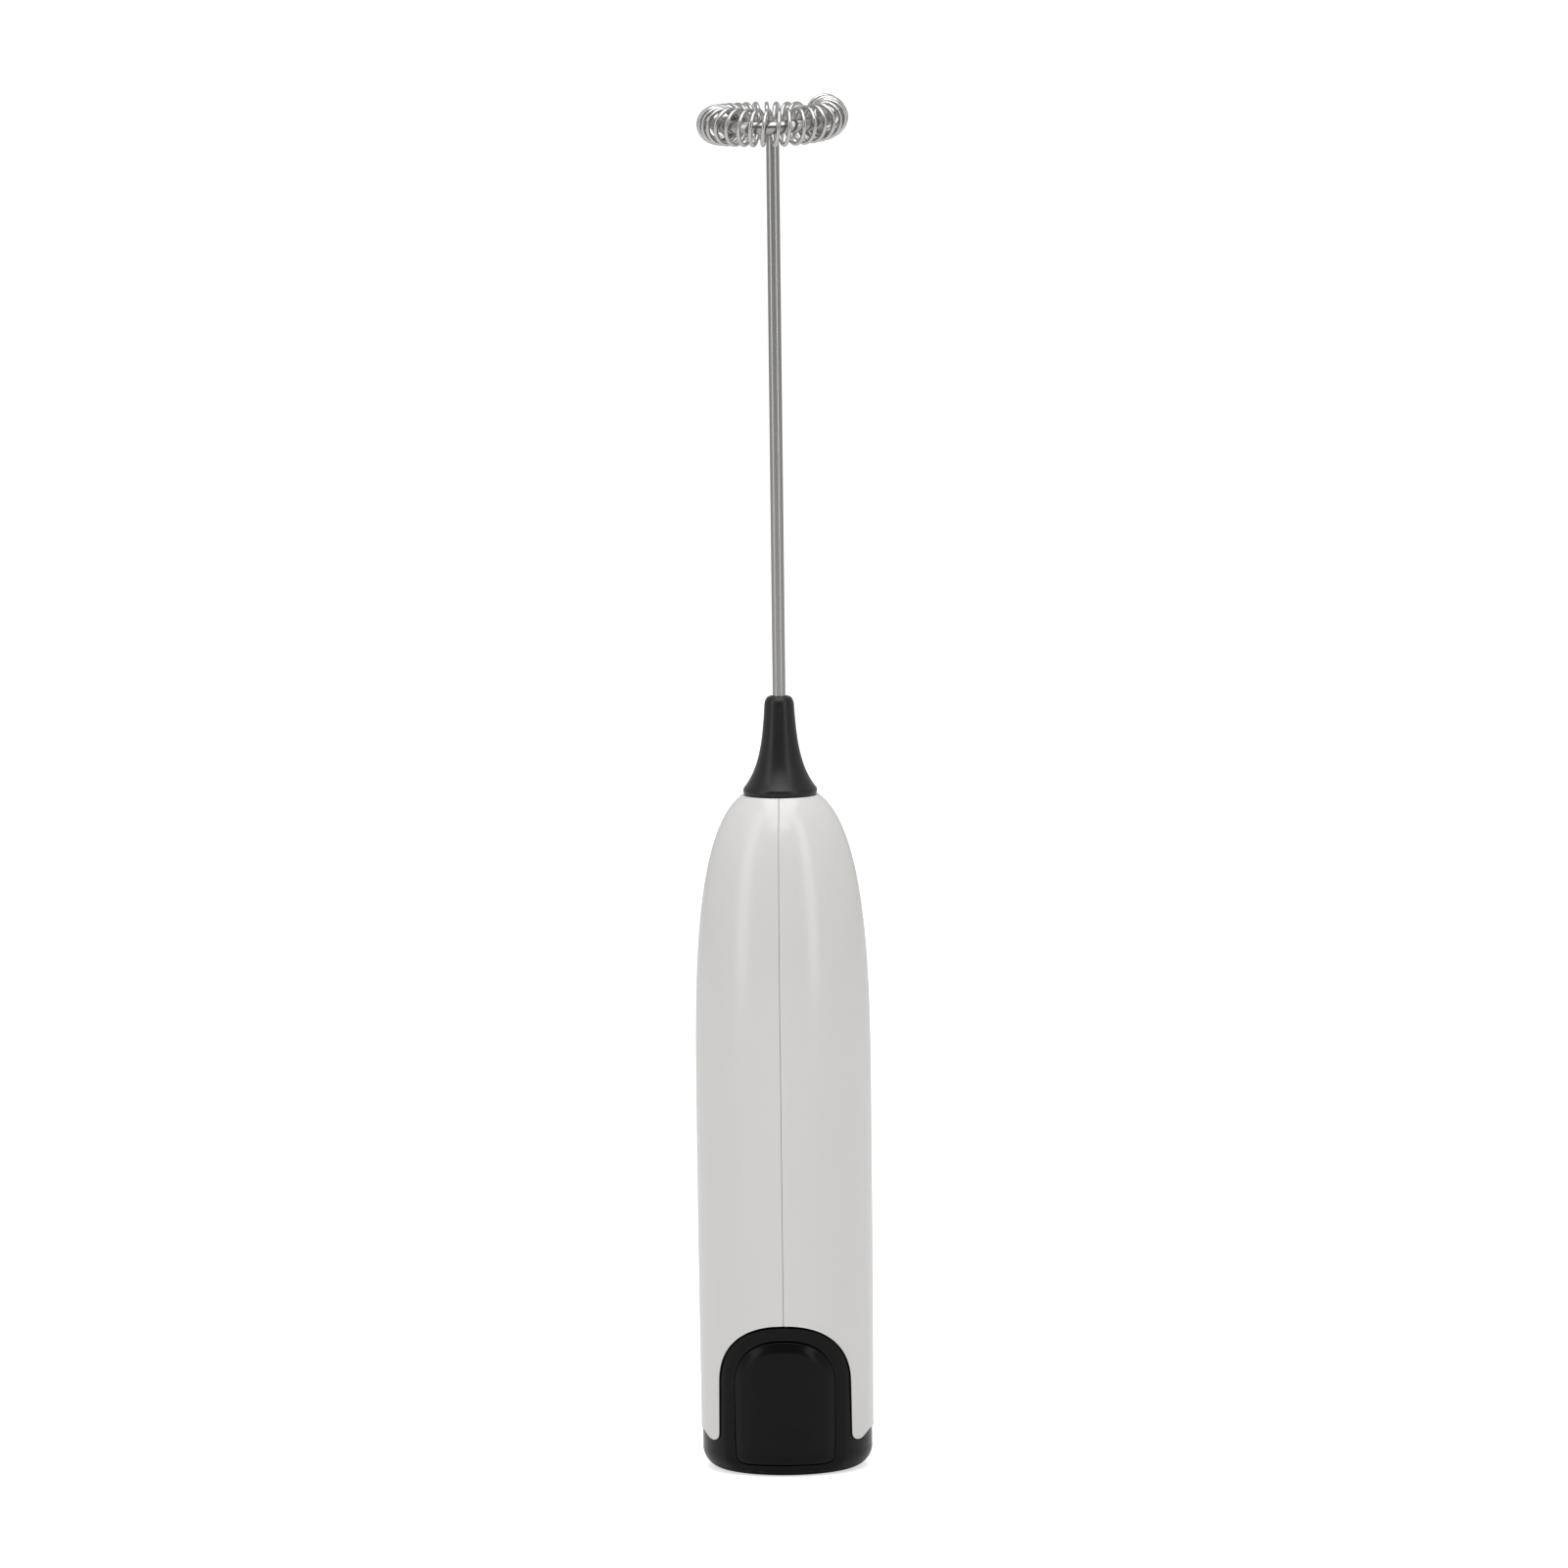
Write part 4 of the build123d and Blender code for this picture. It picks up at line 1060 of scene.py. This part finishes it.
@dataclass
class Whisk:
    """Shaft and ring bent from one wire, with a fine coil wound round the ring. Millimetres and degrees."""

    foot_z: float = 98.6
    ring_z: float = 207.2
    ring_r: float = 8.6
    wire_r: float = 1.0
    bend_r: float = 1.8
    start: float = 64.0  # angle where the ring starts, from +X
    end: float = 392.0
    lift: float = 6.5  # tilt of the ring's climbing end
    coil_r: float = 2.7
    coil_wire_r: float = 0.33
    turns: int = 31
    flat_turns: int = 19
    steps_a_turn: int = 30
    unevenness: float = 0.05

    @property
    def lift_from(self) -> float:
        """Angle on the ring where it starts to climb."""
        return self.start + (self.end - self.start) * self.flat_turns / self.turns

    def lifted(self, point: Vector, angle: float) -> Vector:
        """Tilt a point of the ring about the ring's tangent where it starts to climb, if it is past there."""
        if angle <= self.lift_from:
            return point
        at = math.radians(self.lift_from)
        hinge = Vector((self.ring_r * math.cos(at), self.ring_r * math.sin(at), self.ring_z))
        tangent = Vector((-math.sin(at), math.cos(at), 0))
        return hinge + Matrix.Rotation(math.radians(self.lift), 3, tangent) @ (point - hinge)

    def on_ring(self, angle: float, reach: float, rise: float) -> Vector:
        """Return a point at an angle of the ring, at a reach from its middle and a rise over its plane."""
        at = math.radians(angle)
        return self.lifted(Vector((reach * math.cos(at), reach * math.sin(at), self.ring_z + rise)), angle)

    def wire_line(self) -> list[Vector]:
        """Return the centre line of the shaft, its bend, the spoke, the turn and the ring."""
        reach = self.ring_r - self.bend_r
        side = math.asin(self.bend_r / reach)
        spoke_end = math.sqrt(reach**2 - self.bend_r**2)
        spoke = Matrix.Rotation(math.radians(self.start) - side, 3, "Z")
        low = self.ring_z - self.bend_r
        line = [Vector((0, 0, z)) for z in spread(self.foot_z, low, 40)]
        for a in spread(0, math.pi / 2, 13)[1:]:
            line.append(spoke @ Vector((self.bend_r * (1 - math.cos(a)), 0, low + self.bend_r * math.sin(a))))
        line += [spoke @ Vector((x, 0, self.ring_z)) for x in spread(self.bend_r, spoke_end, 8)[1:]]
        for a in spread(-math.pi / 2, side, 15)[1:]:
            line.append(spoke @ Vector((spoke_end + self.bend_r * math.cos(a),
                                        self.bend_r * (1 + math.sin(a)), self.ring_z)))
        line += [self.on_ring(angle, self.ring_r, 0) for angle in spread(self.start, self.end, 150)[1:]]
        return line

    def coil_line(self) -> list[Vector]:
        """Return the coil's centre line, a little uneven from turn to turn as a hand-wound coil is."""
        dice = random.Random(7)
        pitch = [dice.uniform(-1, 1) * self.unevenness for _ in range(self.turns + 1)]
        size = [dice.uniform(-1, 0) * self.unevenness for _ in range(self.turns + 1)]
        line = []
        total = self.turns * self.steps_a_turn
        for step in range(total + 1):
            laps = step / self.steps_a_turn
            turn = min(int(laps), self.turns - 1)
            ease = smooth_step(0, 1, laps - turn)
            nudge = pitch[turn] + (pitch[turn + 1] - pitch[turn]) * ease
            reach = self.coil_r + size[turn] + (size[turn + 1] - size[turn]) * ease
            ends = min(laps, self.turns - laps, 1)
            angle = self.start + (self.end - self.start) * (laps + nudge * ends * 2) / self.turns
            lap = math.tau * laps
            line.append(self.on_ring(angle, self.ring_r + reach * math.cos(lap), reach * math.sin(lap)))
        return line

    def build_wire(self) -> bpy.types.Object:
        """Build the shaft and ring, with their cut ends slightly rounded."""
        bm = bmesh.new()
        sweep_tube(bm, self.wire_line(), self.wire_r, 28)
        close_up(bm)
        round_edges(bm, 0.2, 3, lambda at: True)
        return make_piece(bm, "whisk_wire_bent", crease=50)

    def build_coil(self) -> bpy.types.Object:
        """Build the coil."""
        bm = bmesh.new()
        sweep_tube(bm, self.coil_line(), self.coil_wire_r, 10)
        close_up(bm)
        return make_piece(bm, "whisk_coil_wound", crease=60)


# ---------------------------------------------------------------- studio


@dataclass
class Studio:
    """Plain pale floor, soft light and the camera. Metres and degrees."""

    distance: float = 2.0
    height: float = 0.33
    azimuth: float = 2.0
    aim: tuple[float, float, float] = (0.0006, 0.0, 0.1058)
    field: float = 0.2408
    roll: float = -0.67
    ambient: float = 0.54
    front_ambient: float = 0.18
    front_fade: Flat = (-0.45, -0.92)  # Y of the directions where the light starts and ends to dim
    backdrop: float = 1.05
    floor_tone: Flat = (0.81, 0.83)
    floor_lift: float = 0.62  # glow that only the camera sees

    def add_floor(self) -> None:
        """Lay a pale floor with a faint mottle."""
        bm = bmesh.new()
        bmesh.ops.create_grid(bm, x_segments=8, y_segments=8, size=6.0)
        floor = make_piece(bm, "studio_floor")
        paint = bpy.data.materials.new("floor_white")
        paint.use_nodes = True
        tree = paint.node_tree
        shader = tree.nodes["Principled BSDF"]
        noise = tree.nodes.new("ShaderNodeTexNoise")
        noise.inputs["Scale"].default_value = 3.0
        tone = tree.nodes.new("ShaderNodeMapRange")
        tone.inputs["To Min"].default_value, tone.inputs["To Max"].default_value = self.floor_tone
        tree.links.new(tree.nodes.new("ShaderNodeTexCoord").outputs["Object"], noise.inputs["Vector"])
        tree.links.new(noise.outputs["Fac"], tone.inputs["Value"])
        tree.links.new(tone.outputs["Result"], shader.inputs["Base Color"])
        shader.inputs["Roughness"].default_value = 0.9
        shader.inputs["Emission Color"].default_value = (1, 1, 1, 1)
        lift = tree.nodes.new("ShaderNodeMath")
        lift.operation = "MULTIPLY"
        lift.inputs[1].default_value = self.floor_lift
        tree.links.new(tree.nodes.new("ShaderNodeLightPath").outputs["Is Camera Ray"], lift.inputs[0])
        tree.links.new(lift.outputs[0], shader.inputs["Emission Strength"])
        floor.data.materials.append(paint)

    def add_world(self) -> None:
        """Set an even ambient light, dimmer from the front, and seen as white behind the object."""
        world = bpy.data.worlds.new("studio_white")
        bpy.context.scene.world = world
        world.use_nodes = True
        tree = world.node_tree
        light = tree.nodes["Background"]
        light.inputs["Color"].default_value = (1, 0.997, 0.99, 1)
        way = tree.nodes.new("ShaderNodeSeparateXYZ")
        tree.links.new(tree.nodes.new("ShaderNodeTexCoord").outputs["Generated"], way.inputs[0])
        front = tree.nodes.new("ShaderNodeMapRange")
        front.interpolation_type = "SMOOTHSTEP"
        front.inputs["From Min"].default_value, front.inputs["From Max"].default_value = self.front_fade
        front.inputs["To Min"].default_value = self.ambient
        front.inputs["To Max"].default_value = self.front_ambient
        tree.links.new(way.outputs["Y"], front.inputs["Value"])
        tree.links.new(front.outputs["Result"], light.inputs["Strength"])
        seen = tree.nodes.new("ShaderNodeBackground")
        seen.inputs["Strength"].default_value = self.backdrop
        seen.inputs["Color"].default_value = (1, 1, 1, 1)
        mix = tree.nodes.new("ShaderNodeMixShader")
        tree.links.new(tree.nodes.new("ShaderNodeLightPath").outputs["Is Camera Ray"], mix.inputs[0])
        tree.links.new(light.outputs[0], mix.inputs[1])
        tree.links.new(seen.outputs[0], mix.inputs[2])
        tree.links.new(mix.outputs[0], tree.nodes["World Output"].inputs["Surface"])

    def add_lamp(self, name: str, azimuth: float, elevation: float, distance: float, size: Flat,
                 radiance: float, disc: bool = False) -> None:
        """Add a softbox that looks at the object.

        Args:
            name: Name of the lamp.
            azimuth: Degrees to the right of the front.
            elevation: Degrees above the object's middle.
            distance: Metres from it.
            size: Width and height.
            radiance: Brightness of its face.
            disc: True for a round lamp.
        """
        data = bpy.data.lights.new(name, "AREA")
        data.shape = "ELLIPSE" if disc else "RECTANGLE"
        data.size, data.size_y = size
        data.energy = radiance * math.pi * size[0] * size[1] * (math.pi / 4 if disc else 1)
        lamp = bpy.data.objects.new(name, data)
        bpy.context.scene.collection.objects.link(lamp)
        turn, rise = math.radians(azimuth), math.radians(elevation)
        way = Vector((math.sin(turn) * math.cos(rise), -math.cos(turn) * math.cos(rise), math.sin(rise)))
        lamp.location = Vector(self.aim) + way * distance
        lamp.rotation_euler = way.to_track_quat("Z", "Y").to_euler()

    def add_camera(self) -> None:
        """Stand the camera in front, a little above and to the right."""
        data = bpy.data.cameras.new("camera")
        camera = bpy.data.objects.new("camera", data)
        bpy.context.scene.collection.objects.link(camera)
        turn = math.radians(self.azimuth)
        camera.location = (self.distance * math.sin(turn), -self.distance * math.cos(turn), self.height)
        way = Vector(self.aim) - Vector(camera.location)
        look = way.to_track_quat("-Z", "Y") @ Quaternion((0, 0, 1), math.radians(self.roll))
        camera.rotation_euler = look.to_euler()
        data.sensor_width = 36.0
        data.lens = data.sensor_width * way.length / self.field
        data.clip_start, data.clip_end = 0.05, 50.0
        bpy.context.scene.camera = camera

    def build(self) -> None:
        """Set up the floor, the light and the camera."""
        self.add_floor()
        self.add_world()
        self.add_lamp("left_softbox", -55, 26, 1.5, (0.5, 1.75), 1.55)
        self.add_lamp("right_softbox", 46, 25, 1.5, (0.42, 1.8), 1.75)
        self.add_lamp("top_softbox", 0, 84, 1.4, (1.2, 1.2), 2.4)
        self.add_lamp("front_disc", 0, 50, 1.5, (1.1, 0.45), 2.4, disc=True)
        self.add_camera()
        bpy.context.scene.view_settings.view_transform = "Standard"


# ---------------------------------------------------------------- the whole frother


@dataclass(frozen=True)
class Part:
    """A new mesh, the CAD node that it stands for, the body it rides on and its material slot."""

    piece: bpy.types.Object
    node: str
    body: str
    slot: str


def dress_frame(finishes: Finishes, replaced: set[str]) -> None:
    """Give every CAD node the finish of its own slot, and log the ones that still show."""
    slots = {item["node"]: item["material_slot"] for item in frame["record"]["subparts"]}
    for name, node in sorted(frame["nodes"].items()):
        finishes.dress(node, slots[name])
        if name not in replaced:
            LOG.info("kept %s as %s", name, slots[name])


def main() -> None:
    """Build the sub-assemblies in order, dress them and set up the studio."""
    logging.basicConfig(level=logging.INFO, format="%(name)s: %(message)s")
    finishes = Finishes()
    shells, whisk = HandleShells(), Whisk()
    parts = [
        Part(shells.build_half("left_shell_moulding", -1), "left_shell", "handle", "white_shell"),
        Part(shells.build_half("right_shell_moulding", 1), "right_shell", "handle", "white_shell"),
        Part(NoseCone().build(), "nose_cone", "handle", "black_satin"),
        Part(EndCap().build(), "end_cap", "end_cap", "black_gloss"),
        Part(PushButton().build(), "power_button", "power_button", "black_button"),
        Part(whisk.build_wire(), "whisk_wire", "drive", "whisk_steel"),
        Part(whisk.build_coil(), "whisk_coil", "drive", "coil_steel"),
    ]
    for part in parts:
        finishes.dress(part.piece, part.slot)
        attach(part.piece, part.body)
        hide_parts(part.node)
        LOG.info("made %s: %d faces, rides on %s", part.piece.name, len(part.piece.data.polygons), part.body)
    dress_frame(finishes, {part.node for part in parts})
    Studio().build()


if __name__ == "__main__":
    main()
